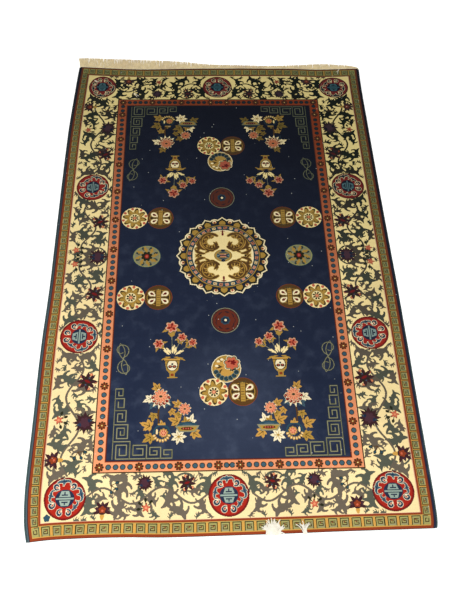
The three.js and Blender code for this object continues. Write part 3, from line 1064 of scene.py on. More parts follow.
def maths(operation: str, *, is_reflected: bool = False) -> Callable[..., "Socket"]:
    """A method of Socket that adds one Math node, the socket last in it if the method is reflected."""
    def method(self: "Socket", *others: object) -> "Socket":
        """The Math node's value."""
        values = (*others, self) if is_reflected else (self, *others)
        return self.tree.node("ShaderNodeMath", {"operation": operation}, *values)

    return method


class Socket:
    """An output socket that takes part in Python arithmetic by adding Math nodes."""

    def __init__(self, tree: "Tree", link: bpy.types.NodeSocket) -> None:
        """Keep the tree it belongs to."""
        self.tree = tree
        self.link = link

    __add__ = __radd__ = maths("ADD")
    __sub__ = maths("SUBTRACT")
    __rsub__ = maths("SUBTRACT", is_reflected=True)
    __mul__ = __rmul__ = maths("MULTIPLY")
    __truediv__ = maths("DIVIDE")
    __mod__ = maths("FLOORED_MODULO")
    __rpow__ = maths("POWER", is_reflected=True)
    __gt__ = maths("GREATER_THAN")
    floor = maths("FLOOR")
    wave = maths("SINE")
    compare = maths("COMPARE")

    def is_about(self, number: float) -> "Socket":
        """One where it is within a half of a number."""
        return self.compare(number, 0.5)

    def ease(self, start: float, end: float, low: float = 0.0, high: float = 1.0) -> "Socket":
        """A smooth step from low to high as it goes from start to end."""
        return self.tree.node("ShaderNodeMapRange", {"interpolation_type": "SMOOTHSTEP"},
                              self, start, end, low, high)


class Tree:
    """A material's node tree."""

    def __init__(self, name: str) -> None:
        """Start a material with one Principled shader."""
        self.material = bpy.data.materials.new(name)
        self.material.use_nodes = True
        self.shader = self.material.node_tree.nodes["Principled BSDF"]

    def node(self, kind: str, settings: dict[str, object], *inputs: object,
             output: int | str = 0, **named: object) -> Socket:
        """Add one node.

        Args:
            kind: The node's type.
            settings: Its own settings, set before its sockets.
            *inputs: Values or links of its first sockets. None leaves one as it is.
            output: Which of its outputs to give back.
            **named: Values or links of sockets by name, with _ for a space.

        Returns:
            The chosen output.
        """
        node = self.material.node_tree.nodes.new(kind)
        for key, value in settings.items():
            setattr(node, key, value)
        for socket, value in zip(node.inputs, inputs):
            self._feed(socket, value)
        for key, value in named.items():
            self._feed(node.inputs[key.replace("_", " ")], value)
        return Socket(self, node.outputs[output])

    def _feed(self, socket: bpy.types.NodeSocket, value: object) -> None:
        """Link or set one input."""
        if isinstance(value, Socket):
            self.material.node_tree.links.new(value.link, socket)
        elif value is not None:
            socket.default_value = value

    def object_point(self) -> Socket:
        """The surface's point in the model's frame."""
        return self.node("ShaderNodeTexCoord", {}, output="Object")

    def from_centre(self, point: Socket, origin: Point) -> tuple[Socket, Socket]:
        """How far a point lies from the carpet's centre, across and along, in metres."""
        x, y, _ = self.parts(point)
        return x - origin[0], y - origin[1]

    def uv(self, name: str) -> Socket:
        """A point of one of the piece's own UV maps."""
        return self.node("ShaderNodeUVMap", {"uv_map": name})

    def attribute(self, name: str) -> Socket:
        """A number kept on the piece's faces."""
        return self.node("ShaderNodeAttribute", {"attribute_name": name}, output="Fac")

    def parts(self, vector: Socket) -> list[Socket]:
        """The three parts of a vector."""
        node = self.node("ShaderNodeSeparateXYZ", {}, vector).link.node
        return [Socket(self, output) for output in node.outputs]

    def stretched(self, vector: Socket, *scale: float) -> Socket:
        """A vector times a number on each axis."""
        return self.node("ShaderNodeVectorMath", {"operation": "MULTIPLY"}, vector, scale)

    def noise(self, vector: Socket, scale: float, detail: float = 2.0) -> Socket:
        """Soft noise about one half."""
        return self.node("ShaderNodeTexNoise", {}, vector, Scale=scale, Detail=detail)

    def hashed(self, vector: Socket) -> Socket:
        """A random number for each whole point."""
        return self.node("ShaderNodeTexWhiteNoise", {"noise_dimensions": "3D"}, vector)

    def blend(self, share: object, first: object, second: object) -> Socket:
        """One colour over another."""
        return self.node("ShaderNodeMix", {"data_type": "RGBA"}, share, *[None] * 5, first, second,
                         output=2)

    def scaled(self, colour: Socket, amount: object) -> Socket:
        """A colour made lighter or darker."""
        return self.node("ShaderNodeVectorMath", {"operation": "SCALE"}, colour, Scale=amount)

    def ramp(self, share: Socket, colours: Sequence[str]) -> Socket:
        """A ramp of hard steps, one for each colour, out of all the steps that there may be."""
        chosen = self.node("ShaderNodeValToRGB", {}, share)
        ramp = chosen.link.node.color_ramp
        ramp.interpolation = "CONSTANT"
        for stop, colour in enumerate(colours):
            element = ramp.elements[0] if stop == 0 else ramp.elements.new(stop / STEPS)
            element.color = paint(colour)
        ramp.elements.remove(ramp.elements[-1])
        return chosen

    def finish(self, constants: dict[str, object], **linked: Socket) -> bpy.types.Material:
        """Set the shader's sockets: numbers that hold all over, and what changes over the surface."""
        for key, value in constants.items():
            self.shader.inputs[key].default_value = value
        for key, value in linked.items():
            self._feed(self.shader.inputs[key.replace("_", " ")], value)
        return self.material

    def bump(self, height: Socket, distance: float, strength: float) -> Socket:
        """A normal raised by a height from 0 to 1."""
        return self.node("ShaderNodeBump", {}, Strength=strength, Distance=distance, Height=height)


def paint(code: str) -> tuple[float, float, float, float]:
    """A colour written as six hexadecimal digits, as the shader's linear values."""
    parts = [int(code[k:k + 2], 16) / 255 for k in (0, 2, 4)]
    return (*(p / 12.92 if p <= 0.04045 else ((p + 0.055) / 1.055) ** 2.4 for p in parts), 1.0)


# --- Finishes -------------------------------------------------------------------------------------

# Painted light and shade: colours are painted lighter at the near end and darker towards the far end and
# the right side.
FALLOFF_LEAN = 0.42
FALLOFF_FROM = -1.25
FALLOFF_TO = 0.9


def painted_falloff(x: Socket, y: Socket) -> Socket:
    """How much of the painted shade of the far end a point has, against the painted light and sheen of the
    near end. It grows along the carpet and to the right.
    """
    return (y + FALLOFF_LEAN * x).ease(FALLOFF_FROM, FALLOFF_TO)


@dataclass(frozen=True)
class KnottedWool:
    """The pile: dyed knots read from the chart that the piece's faces hold.

    Args:
        name: The material's name.
        knot_bump: Height of a knot, in metres.
        spread: How much single knots differ in lightness.
        has_lint: Whether pale lint is caught in it.
        streaks: How much rows of knots differ in lightness.
        clouding: How much large soft patches do.
        painted_sheen: Colour of the navy where a pool of light and patches of sheen are painted on it,
            towards the near end.
        lint: Colour of the lint.
        lint_cells: Places for lint to a metre.
        lint_bare: Share of those places that stay empty.
        lint_cover: How much of the colour a speck of lint hides.
    """

    name: str
    knot_bump: float
    spread: float
    has_lint: bool
    streaks: float = 0.16
    clouding: float = 0.5
    painted_sheen: str = "77839b"
    lint: str = "c9ccc4"
    lint_cells: float = 40.0
    lint_bare: float = 0.62
    lint_cover: float = 0.62

    def make(self, origin: Point) -> bpy.types.Material:
        """Make the material for a carpet whose centre lies at a point of the floor."""
        tree = Tree(self.name)
        across, along, _ = tree.parts(tree.uv("knots"))
        column, row = across.floor(), along.floor()
        digit = self._digit(tree, column, row)
        point = tree.object_point()
        x, y = tree.from_centre(point, origin)
        # Painted light and shade: each dye blends from its painted-light near colour to its painted-shade
        # far colour.
        distance = painted_falloff(x, y)
        share = (digit + 0.5) / STEPS
        colour = tree.blend(distance, tree.ramp(share, [dye.near for dye in Dye]),
                            tree.ramp(share, [dye.far for dye in Dye]))
        # A painted pool of light on the navy towards the near end, and painted sheen patches that fade
        # towards the far end.
        painted_glare = (x * x + (y + 0.6) * (y + 0.6)).ease(0.0, 0.1, 0.08, 0.0)
        painted_sheen_patches = tree.noise(point, 26.0, 6.0).ease(0.45, 0.8) * (1 - distance) * 0.12
        colour = tree.blend((painted_glare + painted_sheen_patches) * digit.is_about(0), colour, paint(self.painted_sheen))
        each = tree.hashed(tree.node("ShaderNodeCombineXYZ", {}, column, row))
        rows = tree.noise(tree.stretched(point, 0.7, 26.0, 1.0), 3.0)
        clouds = tree.noise(point, 3.2, 3.0)
        colour = tree.scaled(colour, 1 + (each - 0.5) * self.spread + (rows - 0.5) * self.streaks
                             + (clouds - 0.5) * self.clouding)
        if self.has_lint:
            colour = self._with_lint(tree, colour, point)
        dome = (across * math.pi).wave() * (along * math.pi).wave()
        height = dome * dome * 0.6 + each * 0.4
        return tree.finish(
            {"Roughness": 0.93, "Specular IOR Level": 0.06, "Sheen Weight": 0.02,
             "Sheen Roughness": 0.5},
            Base_Color=colour, Normal=tree.bump(height, self.knot_bump, 0.5))

    @staticmethod
    def _digit(tree: Tree, column: Socket, row: Socket) -> Socket:
        """The dye's number: one digit of the number kept for this row of the face's block."""
        packed = sum((row % BLOCK_ROWS).is_about(r) * tree.attribute(f"knots_{r}")
                     for r in range(BLOCK_ROWS))
        return ((packed + 0.5) / STEPS ** (column % BLOCK_COLUMNS)).floor() % STEPS

    def _with_lint(self, tree: Tree, colour: Socket, point: Socket) -> Socket:
        """Specks of pale lint caught in the pile."""
        cell, centre = (tree.node("ShaderNodeTexVoronoi", {}, point, Scale=self.lint_cells, output=output)
                        for output in ("Distance", "Position"))
        speck = cell.ease(0.04, 0.085, 1.0, 0.0) * (tree.hashed(centre) > self.lint_bare)
        return tree.blend(speck * self.lint_cover, colour, paint(self.lint))


@dataclass(frozen=True)
class SpunYarn:
    """Plied yarn: slanting stripes of ply round the strand, uneven dye along it, and painted light and
    shade from the near end to the far end.

    Args:
        name: The material's name.
        near: Its colour at the near end, painted lighter with light and sheen.
        far: Its colour at the far end, painted darker with shade.
        soiled: Colour of the soiled patches.
        plies: Number of plies.
        lay: Length in which they go once round, in metres.
    """

    name: str
    near: str
    far: str
    soiled: str
    plies: float
    lay: float

    def make(self, origin: Point) -> bpy.types.Material:
        """Make the material. The yarn's map has turns in u and metres in v."""
        tree = Tree(self.name)
        turn, run, _ = tree.parts(tree.uv("yarn"))
        point = tree.object_point()
        twist = ((turn * self.plies + run / self.lay) * 2 * math.pi).wave()
        mottle = tree.noise(point, 55.0, 3.0)
        patches = tree.noise(point, 6.0, 2.0)
        # Painted light and shade: the yarn blends from its painted-light near colour to its painted-shade
        # far colour.
        colour = tree.blend(painted_falloff(*tree.from_centre(point, origin)), paint(self.near),
                            paint(self.far))
        colour = tree.blend(patches.ease(0.45, 0.75) * 0.6, colour, paint(self.soiled))
        colour = tree.scaled(colour, 0.9 + twist * 0.07 + (mottle - 0.5) * 0.5)
        return tree.finish(
            {"Roughness": 0.9, "Specular IOR Level": 0.15, "Sheen Weight": 0.1},
            Base_Color=colour, Normal=tree.bump(twist * 0.5 + mottle * 0.5, 0.0005, 0.6))


# --- Mesh helpers ---------------------------------------------------------------------------------

def linked(name: str, data: bpy.types.ID) -> bpy.types.Object:
    """A new object of the scene."""
    made = bpy.data.objects.new(name, data)
    bpy.context.scene.collection.objects.link(made)
    return made


def read(items: bpy.types.bpy_prop_collection, key: str, kind: type, width: int = 1) -> np.ndarray:
    """One property of all items, in rows of the given width."""
    values = np.zeros(len(items) * width, kind)
    items.foreach_get(key, values)
    return values.reshape(-1, width) if width > 1 else values


def add_map(mesh: bpy.types.Mesh, name: str, values: np.ndarray) -> None:
    """Add one UV map."""
    layer = mesh.uv_layers.new(name=name)
    layer.data.foreach_set("uv", values.astype(np.float32).ravel())


# --- The knotted carpet ---------------------------------------------------------------------------

@dataclass(frozen=True)
class Grid:
    """Faces over the knotted rectangle in rows, each face a block of knots.

    Args:
        across: Faces across.
        along: Faces along.
        start: Number of its first point.
    """

    across: int
    along: int
    start: int = 0

    @property
    def wide(self) -> int:
        """Points in a row."""
        return self.across + 1

    @property
    def count(self) -> int:
        """Points in all."""
        return self.wide * (self.along + 1)

    def plan(self, half_width: float, half_length: float) -> np.ndarray:
        """Its points in the chart's true rectangle, row by row."""
        x = np.linspace(-half_width, half_width, self.wide)
        y = np.linspace(-half_length, half_length, self.along + 1)
        return np.stack(np.meshgrid(x, y), axis=-1).reshape(-1, 2)

    def ring(self) -> np.ndarray:
        """Its border points in order, to the left round it."""
        last = self.wide * self.along
        return self.start + np.array([
            *range(self.across), *range(self.across, last + self.across, self.wide),
            *range(last + self.across, last, -1), *range(last, 0, -self.wide)])

    def quads(self) -> np.ndarray:
        """Its faces, row by row."""
        first = self.start + (np.arange(self.along)[:, None] * self.wide + np.arange(self.across)).ravel()
        return np.stack([first, first + 1, first + self.wide + 1, first + self.wide], axis=1)

    def knot_uv(self, points: np.ndarray) -> np.ndarray:
        """The knot at each point."""
        row, column = np.divmod(points - self.start, self.wide)
        return np.stack([column * BLOCK_COLUMNS, row * BLOCK_ROWS], axis=1).astype(float)

    def packed(self, knots: np.ndarray, row: int) -> np.ndarray:
        """One row of every face's block of knots, as a number with a digit for each knot."""
        blocks = knots.reshape(self.along, BLOCK_ROWS, self.across, BLOCK_COLUMNS)
        return (blocks[:, row] * STEPS ** np.arange(BLOCK_COLUMNS)).sum(axis=-1).ravel()


@dataclass
class KnottedCarpet:
    """The carpet between its side cords: one closed cloth, its chart kept on its faces.

    Args:
        outline: Where its edges lie.
        columns: Knots across.
        rows: Knots along.
        thickness: Height of the pile, in millimetres.
        relief: How uneven the pile is.
        rims: The binding's turns from pile to back: how far in each lies, and its height.
        back_inset: How far in the back begins.
    """

    outline: Outline
    columns: int = 976
    rows: int = 1560
    thickness: float = 9.0
    relief: float = 0.35
    rims: tuple[Point, ...] = ((0.0, 7.4), (0.0, 4.6), (0.3, 1.2))
    back_inset: float = 1.4

    def build(self, face: KnottedWool, back: KnottedWool, edge: SpunYarn) -> bpy.types.Object:
        """Make the carpet, with its pile, its back and the binding between them."""
        half = self.outline.half_width, self.outline.half_length
        top = Grid(self.columns // BLOCK_COLUMNS, self.rows // BLOCK_ROWS)
        plan, rim = top.plan(*half), top.ring()
        under = Grid(top.across // 2, top.along // 2, top.count + len(self.rims) * len(rim))
        points = [self._top_points(plan)]
        faces = [top.quads()]
        border = plan[rim]
        start = top.count
        for inset, height in self.rims:
            points.append(self._at(border * (1 - inset / half[0]), np.full(len(rim), height)))
            lower = start + np.arange(len(rim))
            faces.append(np.stack([rim, lower, np.roll(lower, -1), np.roll(rim, -1)], axis=1))
            rim, start = lower, start + len(rim)
        points.append(self._at(under.plan(*half) * (1 - self.back_inset / half[0]), np.zeros(under.count)))
        corner = under.ring()
        faces.append(np.stack([rim[0::2], corner, np.roll(corner, -1), np.roll(rim[0::2], -1),
                               rim[1::2]], axis=1))
        faces.append(under.quads()[:, ::-1])
        mesh = bpy.data.meshes.new("pile")
        mesh.from_pydata(np.concatenate(points), [],
                         [tuple(row) for part in faces for row in part.tolist()])
        carpet = linked("pile", mesh)
        count = [len(part) for part in faces]
        kind = np.repeat([0] + [2] * (len(faces) - 2) + [1], count)
        for finish in (face, back, edge):
            mesh.materials.append(finish.make(self.outline.origin))
        mesh.polygons.foreach_set("material_index", kind.astype(np.int32))
        self._keep_chart(mesh, top, under, sum(count[1:-1]))
        self._map(mesh, np.repeat(kind, read(mesh.polygons, "loop_total", np.int32)), top, under)
        return carpet

    def _at(self, plan: np.ndarray, height: np.ndarray) -> np.ndarray:
        """Points of the chart's rectangle, laid in the carpet at a height in millimetres."""
        x, y = self.outline.settle(plan[:, 0], plan[:, 1])
        return np.stack([x, y, MILLI * height], axis=1)

    def _top_points(self, plan: np.ndarray) -> np.ndarray:
        """The pile's surface: slightly uneven, and worn round at its edges."""
        x, y = plan[:, 0], plan[:, 1]
        swell = (np.sin(x / 61 + 1.3 * np.sin(y / 97)) * np.sin(y / 83 + 1.1 * np.sin(x / 71))
                 + 0.6 * np.sin(x / 23 + y / 31) * np.sin(y / 19 - x / 41))
        inwards = np.minimum(self.outline.half_width - abs(x), self.outline.half_length - abs(y))
        worn = 0.9 * np.exp(-inwards / 4.0)
        return self._at(plan, self.thickness - 0.3 + self.relief * swell - worn)

    def _keep_chart(self, mesh: bpy.types.Mesh, top: Grid, under: Grid, between: int) -> None:
        """Draw the design, and keep a number on the faces for each row of a block of knots."""
        chart = Chart(self.columns, self.rows, 2 * self.outline.half_width, 2 * self.outline.half_length)
        Borders().draw(chart)
        Field().draw(chart)
        knots = chart.knots.astype(np.int64)
        LOG.info("chart of %d x %d knots", self.columns, self.rows)
        for row in range(BLOCK_ROWS):
            values = [top.packed(knots, row), np.zeros(between), under.packed(knots[::2, ::2], row)]
            layer = mesh.attributes.new(f"knots_{row}", "FLOAT", "FACE")
            layer.data.foreach_set("value", np.concatenate(values).astype(np.float32))

    def _map(self, mesh: bpy.types.Mesh, kind: np.ndarray, top: Grid, under: Grid) -> None:
        """Three maps: knots for the pile and the back, yarn for the binding, and one to bake with."""
        corners = read(mesh.loops, "vertex_index", np.int32)
        on_top, on_back, on_edge = kind == 0, kind == 1, kind == 2
        knots, yarn, bake = (np.zeros((len(corners), 2)) for _ in range(3))
        knots[on_top] = top.knot_uv(corners[on_top])
        knots[on_back] = under.knot_uv(corners[on_back])
        turn, along = np.divmod(corners[on_edge] - top.count, len(top.ring()))
        yarn[on_edge, 0] = np.clip(turn + 1, 0, 4) / 4
        yarn[on_edge, 1] = along * 0.005
        size = np.array([self.columns, self.rows], float)
        bake[on_top] = 0.004 + (knots[on_top] / size)[:, ::-1] * (0.992, 0.68)
        bake[on_back] = 0.004 + (2 * knots[on_back] / size)[:, ::-1] * (0.992, 0.24) + (0.0, 0.745)
        bake[on_edge, 0] = 0.01 + 0.98 * along / len(top.ring())
        bake[on_edge, 1] = 0.70 + 0.03 * yarn[on_edge, 0]
        for name, values in (("knots", knots), ("yarn", yarn), ("OFBake", bake)):
            add_map(mesh, name, values)


# --- Yarns: side cords, woven end, fringe and loose ends -------------------------------------------

@dataclass
class Yarns:
    """Many strands of one shape, copied from a single tube and laid along given lines.

    Args:
        name: The piece's name.
        sides: Faces round a strand.
        rings: Faces along it.
        flatness: Its height as a share of its width.
    """

    name: str
    sides: int
    rings: int
    flatness: float = 1.0

    def _tube(self) -> bpy.types.Object:
        """A straight closed tube, one long and one in radius, modelled as a rolled strip."""
        bpy.ops.object.select_all(action="DESELECT")
        bpy.ops.mesh.primitive_grid_add(x_subdivisions=self.sides, y_subdivisions=self.rings, size=1)
        tube = bpy.context.object
        vertices = tube.data.vertices
        flat = read(vertices, "co", np.float32, 3) + 0.5
        angle = -2 * math.pi * flat[:, 0]
        rolled = np.stack([np.cos(angle), np.sin(angle), flat[:, 1]], axis=1)
        vertices.foreach_set("co", rolled.astype(np.float32).ravel())
        bpy.ops.object.mode_set(mode="EDIT")
        bpy.ops.mesh.select_all(action="SELECT")
        bpy.ops.mesh.remove_doubles(threshold=1e-4)
        bpy.ops.mesh.select_all(action="DESELECT")
        bpy.ops.mesh.select_non_manifold()
        bpy.ops.mesh.edge_face_add()
        bpy.ops.object.mode_set(mode="OBJECT")
        return tube

    def lay(self, lines: np.ndarray, radii: np.ndarray, finish: bpy.types.Material
            ) -> bpy.types.Object:
        """Copy the tube along every line and keep all copies as one piece.

        Args:
            lines: Points in metres, shaped (strands, rings + 1, 3).
            radii: Radius at each point, in metres, shaped (strands, rings + 1).
            finish: The yarn's material.

        Returns:
            The piece.
        """
        tube = self._tube()
        unit = read(tube.data.vertices, "co", np.float32, 3)
        ring = np.rint(unit[:, 2] * self.rings).astype(int)
        faces = [tuple(face.vertices) for face in tube.data.polygons]
        corner_uv = read(tube.data.uv_layers[0].data, "uv", np.float32, 2)
        bpy.data.objects.remove(tube)
        heading = np.gradient(lines, axis=1)
        heading /= np.linalg.norm(heading, axis=2, keepdims=True) + 1e-12
        side = np.cross(heading, (0.0, 0.0, 1.0))
        side /= np.linalg.norm(side, axis=2, keepdims=True) + 1e-12
        upper = np.cross(side, heading)
        points = (lines[:, ring] + side[:, ring] * (radii[:, ring] * unit[:, 0])[..., None]
                  + upper[:, ring] * (radii[:, ring] * unit[:, 1] * self.flatness)[..., None])
        made = bpy.data.meshes.new(self.name)
        made.from_pydata(points.reshape(-1, 3), [], [
            tuple(v + k * len(unit) for v in face) for k in range(len(lines)) for face in faces])
        lengths = np.linalg.norm(np.diff(lines, axis=1), axis=2).sum(axis=1)
        add_map(made, "yarn", np.concatenate([corner_uv * (1.0, length) + (0.0, 0.37 * k)
                                              for k, length in enumerate(lengths)]))
        made.materials.append(finish)
        return linked(self.name, made)


END_GAP = 0.001  # How far cords and wefts stop short of their ends, in metres.


@dataclass
class SideCord:
    """The overcast cord along one side: a core with a yarn wound round it, turn beside turn.

    Args:
        outline: Where the carpet's edges lie.
        side: -1 for the left side, 1 for the right.
        turns: Turns of the yarn.
        half_width: Half the cord's width.
        half_height: Half its height.
        inset: How far its middle lies in from the edge.
    """

    outline: Outline
    side: int
    turns: int = 560
    half_width: float = 2.9
    half_height: float = 3.4
    inset: float = 3.0

    def build(self, finish: bpy.types.Material) -> bpy.types.Object:
        """Make the cord, with a rib for each turn of the yarn."""
        rings = 3 * self.turns
        name, edge = ("left", self.outline.left) if self.side < 0 else ("right", self.outline.right)
        low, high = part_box("selvedge_left" if self.side < 0 else "selvedge_right")
        y = np.linspace(low.y + END_GAP, high.y - END_GAP, rings + 1)
        x = edge((y - self.outline.origin[1]) / MILLI) - self.side * self.inset
        wobble = 0.25 * np.sin(y * 41) + 0.2 * np.sin(y * 97 + self.side)
        points = np.stack([self.outline.origin[0] + MILLI * (x + 0.4 * wobble), y,
                           MILLI * (self.half_height + 0.15 + 0.3 * np.abs(wobble))], axis=1)
        ribs = np.tile([0.0, 1.0, 0.92], self.turns + 1)[:rings + 1]
        worn = 1 - 0.03 * np.sin(y * 23 + 2 * self.side)
        radii = MILLI * self.half_width * (0.88 + 0.12 * ribs) * worn
        radii[[0, -1]] *= 0.45
        radii[[1, -2]] *= 0.8
        yarns = Yarns(f"cord_{name}", 10, rings, self.half_height / self.half_width)
        return yarns.lay(points[None], radii[None], finish)


@dataclass
class WovenEnd:
    """The flat-woven strip past the last knots: weft yarns that cross the warps in turn.

    Args:
        outline: Where the carpet's end lies.
        picks: Number of weft yarns.
        crossings: How often each goes over and under.
        depth: Depth of the strip, in millimetres.
    """

    outline: Outline
    picks: int = 5
    crossings: int = 230
    depth: float = 8.8

    def build(self, finish: bpy.types.Material) -> bpy.types.Object:
        """Make the strip's wefts, each one over and under its neighbour's warps."""
        low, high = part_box("end_web")
        rings = 2 * self.crossings
        x = np.linspace(low.x + END_GAP, high.x - END_GAP, rings + 1)
        last = self.outline.far((x - self.outline.origin[0]) / MILLI)
        pick = np.arange(self.picks)[:, None]
        wave = np.cos(math.pi * np.arange(rings + 1) + math.pi * pick)
        y = last + 1.5 + (pick + 0.5) * self.depth / self.picks + 0.12 * np.sin(x * 31 + pick)
        lines = np.stack([x + 0 * y, self.outline.origin[1] + MILLI * y, MILLI * (1.25 + 0.32 * wave)],
                         axis=-1)
        return Yarns("woven_end", 8, rings, 0.85).lay(lines, MILLI * (0.98 + 0.1 * wave), finish)


@dataclass
class Fringe:
    """The warp ends past the woven strip: soft tufts of cotton that lie on the floor.

    Args:
        outline: Where the carpet's end lies.
        tufts: Number of tufts.
        strands: Strands in each.
        rings: Faces along a strand.
        reach: How far the fringe reaches past the last knots, along the end.
        lean: How far its tips lie to the side.
        web: Depth of the woven strip, where the strands begin.
        first: Where the first strand starts, across the carpet.
    """

    outline: Outline
    tufts: int = 230
    strands: int = 3
    rings: int = 8
    reach: Edge = Edge((-603, -560, -500, -378, -256, -134, -73, -12, 110, 232, 323, 415, 476, 537,
                        592, 625),
                       (62, 66, 68, 69, 63, 50, 39, 33, 29, 26, 30, 41, 43, 35, 27, 16))
    lean: Edge = Edge((-603, -560, -500, -378, -134, 232, 415, 537, 592, 625),
                      (-11, -8, -3, 0, 1, 0, 2, 0, -3, -8))
    web: float = 9.0
    first: float = -600.0

    def build(self, finish: bpy.types.Material) -> bpy.types.Object:
        """Make the fringe's strands."""
        rng = np.random.default_rng(7)
        low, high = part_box("fringe")
        left, right = ((end.x - self.outline.origin[0]) / MILLI for end in (low, high))
        count = self.tufts * self.strands
        base = np.linspace(self.first, right - 2.5, count) + rng.uniform(-0.5, 0.5, count)
        start = self.outline.far(base) + self.web
        length = (self.reach(base) - self.web - 1.0) * rng.uniform(0.965, 1.0, count)
        tuft = np.repeat(rng.uniform(-1, 1, self.tufts), self.strands)
        side = self.lean(base) + 2.2 * tuft + rng.uniform(-1.2, 1.2, count)
        t = np.linspace(0, 1, self.rings + 1)
        bend = rng.uniform(-1, 1, (count, 1)) * np.sin(2.4 * math.pi * t + rng.uniform(0, 6, (count, 1)))
        x = np.clip(base[:, None] + side[:, None] * t**1.3 + 0.9 * bend, left - 4, right + 4)
        y = start[:, None] + length[:, None] * t
        radius = rng.uniform(1.2, 1.5, (count, 1)) * (1 - 0.25 * t**3)
        level = rng.uniform(0, 1, (count, 1))
        z = radius * 0.8 + level * 0.9 * np.sin(math.pi * np.clip(t * 1.1, 0, 1)) + 0.15
        lines = self.outline.points(x, y, z)
        return Yarns("warp_fringe", 6, self.rings, 0.8).lay(lines, MILLI * radius, finish)


@dataclass(frozen=True)
class Wisp:
    """A few strands that have worked loose and lie on the pile.

    Args:
        x: Where they start, in millimetres from the centre.
        y: Where they start.
        turn: Degrees from +x in which they lie.
        length: Longest strand.
        spread: Degrees between the outermost strands.
        strands: How many there are.
        thickness: Radius of a strand.
    """

    x: float
    y: float
    turn: float
    length: float
    spread: float
    strands: int
    thickness: float


@dataclass
class LooseYarn:
    """White tufts at the plain end, or threads on the pile.

    Args:
        outline: Where the carpet lies.
        name: The piece's name.
        wisps: Each tuft or thread.
        rings: Faces along a strand.
        level: Height of the pile that they lie on, in millimetres.
    """

    outline: Outline
    name: str
    wisps: tuple[Wisp, ...]
    rings: int = 7
    level: float = 9.2

    def build(self, finish: bpy.types.Material) -> bpy.types.Object:
        """Make all strands as one piece."""
        rng = np.random.default_rng(11)
        lines, radii = [], []
        t = np.linspace(0, 1, self.rings + 1)
        for wisp in self.wisps:
            for strand in range(wisp.strands):
                share = strand / max(wisp.strands - 1, 1) - 0.5
                turn = math.radians(wisp.turn + wisp.spread * share + rng.uniform(-4, 4))
                length = wisp.length * rng.uniform(0.6, 1.0)
                curve = math.radians(rng.uniform(-35, 35)) * t
                x = wisp.x + share * wisp.strands * 0.8 + length * t * np.cos(turn + curve)
                y = wisp.y + rng.uniform(-2, 2) + length * t * np.sin(turn + curve)
                radius = wisp.thickness * (1 - 0.3 * t)
                z = self.level + radius + rng.uniform(0, 1.6) * np.sin(math.pi * t)
                lines.append(self.outline.points(x, y, z))
                radii.append(MILLI * radius)
        return Yarns(self.name, 5, self.rings, 0.8).lay(np.array(lines), np.array(radii), finish)


# --- Studio ---------------------------------------------------------------------------------------

@dataclass
class Studio:
    """The pale floor, the soft light and the camera.

    Args:
        outline: Where the carpet lies.
        lens: The camera's focal length, in millimetres, for a frame 36 high.
        eye: Where the camera stands, in millimetres from the carpet's centre.
        right: Direction of the camera's right side.
        up: Direction of its top.
        back: Direction from which it looks.
        daylight: Strength of the light from all round.
        lit: Where the lamps point.
        lamps: Each soft lamp's name, place, size and power.
    """

    outline: Outline
    lens: float = 38.69
    eye: tuple[float, float, float] = (-77.4, -1268.1, 2009.3)
    right: tuple[float, float, float] = (0.99933, -0.02662, 0.02512)
    up: tuple[float, float, float] = (0.01144, 0.87908, 0.47653)
    back: tuple[float, float, float] = (-0.03476, -0.47592, 0.87880)
    daylight: float = 0.62
    lit: tuple[float, float, float] = (0.0, -0.1, 0.0)
    lamps: tuple[tuple[str, tuple[float, float, float], float, float], ...] = (
        ("key", (-0.9, -1.7, 2.6), 1.6, 62.0), ("fill", (1.6, -0.6, 2.8), 2.0, 16.0))

    def build(self) -> None:
        """Set the stage."""
        self._floor()
        for name, place, size, power in self.lamps:
            lamp = bpy.data.lights.new(name, "AREA")
            lamp.size = size
            lamp.energy = power
            holder = linked(name, lamp)
            holder.location = place
            aim = Vector(self.lit) - Vector(place)
            holder.rotation_euler = aim.to_track_quat("-Z", "Y").to_euler()
        world = bpy.data.worlds.new("studio")
        world.use_nodes = True
        background = world.node_tree.nodes["Background"]
        background.inputs["Color"].default_value = (1.0, 0.99, 0.97, 1.0)
        background.inputs["Strength"].default_value = self.daylight
        bpy.context.scene.world = world
        bpy.context.scene.view_settings.view_transform = "Standard"
        self._camera()

    @staticmethod
    def _floor() -> None:
        """A wide white floor that keeps the carpet's shadow."""
        bpy.ops.object.select_all(action="DESELECT")
        bpy.ops.mesh.primitive_plane_add(size=30)
        floor = bpy.context.object
        floor.name = "floor"
        tree = Tree("floor_paper")
        seen = sum(tree.node("ShaderNodeLightPath", {}, output=f"Is {kind} Ray")
                   for kind in ("Camera", "Glossy", "Transmission"))
        tree.finish({"Base Color": (0.9, 0.9, 0.9, 1.0), "Roughness": 0.9, "Emission Strength": 0.42},
                    Emission_Color=tree.blend(seen, paint("000000"), paint("ffffff")))
        floor.data.materials.append(tree.material)

    def _camera(self) -> None:
        """The camera, near the plain end and looking down along the carpet."""
        camera = bpy.data.cameras.new("camera")
        camera.lens = self.lens
        camera.sensor_fit = "VERTICAL"
        camera.sensor_height = 36.0
        holder = linked("camera", camera)
        turn = Matrix((self.right, self.up, self.back)).transposed().to_4x4()
        holder.matrix_world = Matrix.Translation(Vector(self.outline.points(*self.eye))) @ turn
        bpy.context.scene.camera = holder


# --- Making it all --------------------------------------------------------------------------------

SMOOTH_BELOW = math.radians(50)


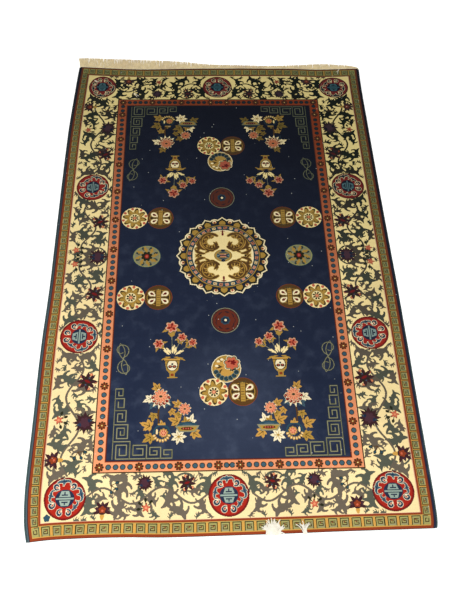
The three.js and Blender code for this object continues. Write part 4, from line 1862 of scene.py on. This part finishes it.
def adopt(piece: bpy.types.Object, slot: str, *nodes: str) -> bpy.types.Object:
    """Let a piece ride on the carpet's body, with smooth shading, and stand for model nodes."""
    bpy.ops.object.select_all(action="DESELECT")
    piece.select_set(True)
    bpy.context.view_layer.objects.active = piece
    bpy.ops.object.shade_smooth_by_angle(angle=SMOOTH_BELOW)
    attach(piece, "root")
    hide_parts(*nodes)
    LOG.info("%s: %d faces", piece.name, len(piece.data.polygons))
    return piece


def main() -> None:
    """Build every piece and the studio."""
    logging.basicConfig(level=logging.INFO, format="%(name)s: %(message)s")
    outline = Outline()
    Studio(outline).build()
    binding = SpunYarn("overcast_wool", "48605f", "12171b", "2a3c42", 2.0, 0.0035)
    cord, web, warps, white = (finish.make(outline.origin) for finish in (
        binding, SpunYarn("cotton_weft", "efe6c8", "e9dfbc", "cdbf92", 3.0, 0.006),
        SpunYarn("cotton_warp", "ecdcb2", "e2cfa2", "c6a98a", 2.0, 0.005),
        SpunYarn("white_cotton", "f7f3e6", "efe6cf", "e2d8bd", 2.0, 0.004)))
    carpet = KnottedCarpet(outline).build(
        KnottedWool("knotted_wool", 0.0007, 0.16, True),
        KnottedWool("knot_backs", 0.0003, 0.10, False), binding)
    adopt(carpet, "pile", "carpet")
    tufts = LooseYarn(outline, "yarn_tufts", (
        Wisp(116, -974, 112, 34, 58, 34, 1.9), Wisp(124, -974, 86, 46, 34, 36, 1.9),
        Wisp(137, -975, 62, 32, 44, 22, 1.7), Wisp(219, -975, 98, 38, 16, 13, 1.5)))
    threads = LooseYarn(outline, "loose_threads", (
        Wisp(535, 965, -110, 36, 8, 2, 0.9), Wisp(-530, 895, -40, 24, 4, 2, 1.0),
        Wisp(-358, 818, -62, 38, 4, 2, 1.1)))
    trimmings = [
        adopt(SideCord(outline, -1).build(cord), "selvedge", "selvedge_left"),
        adopt(SideCord(outline, 1).build(cord), "selvedge", "selvedge_right"),
        adopt(WovenEnd(outline).build(web), "web", "end_web"),
        adopt(Fringe(outline).build(warps), "fringe", "fringe"),
        adopt(tufts.build(white), "fringe"),
        adopt(threads.build(white), "fringe"),
    ]


if __name__ == "__main__":
    main()
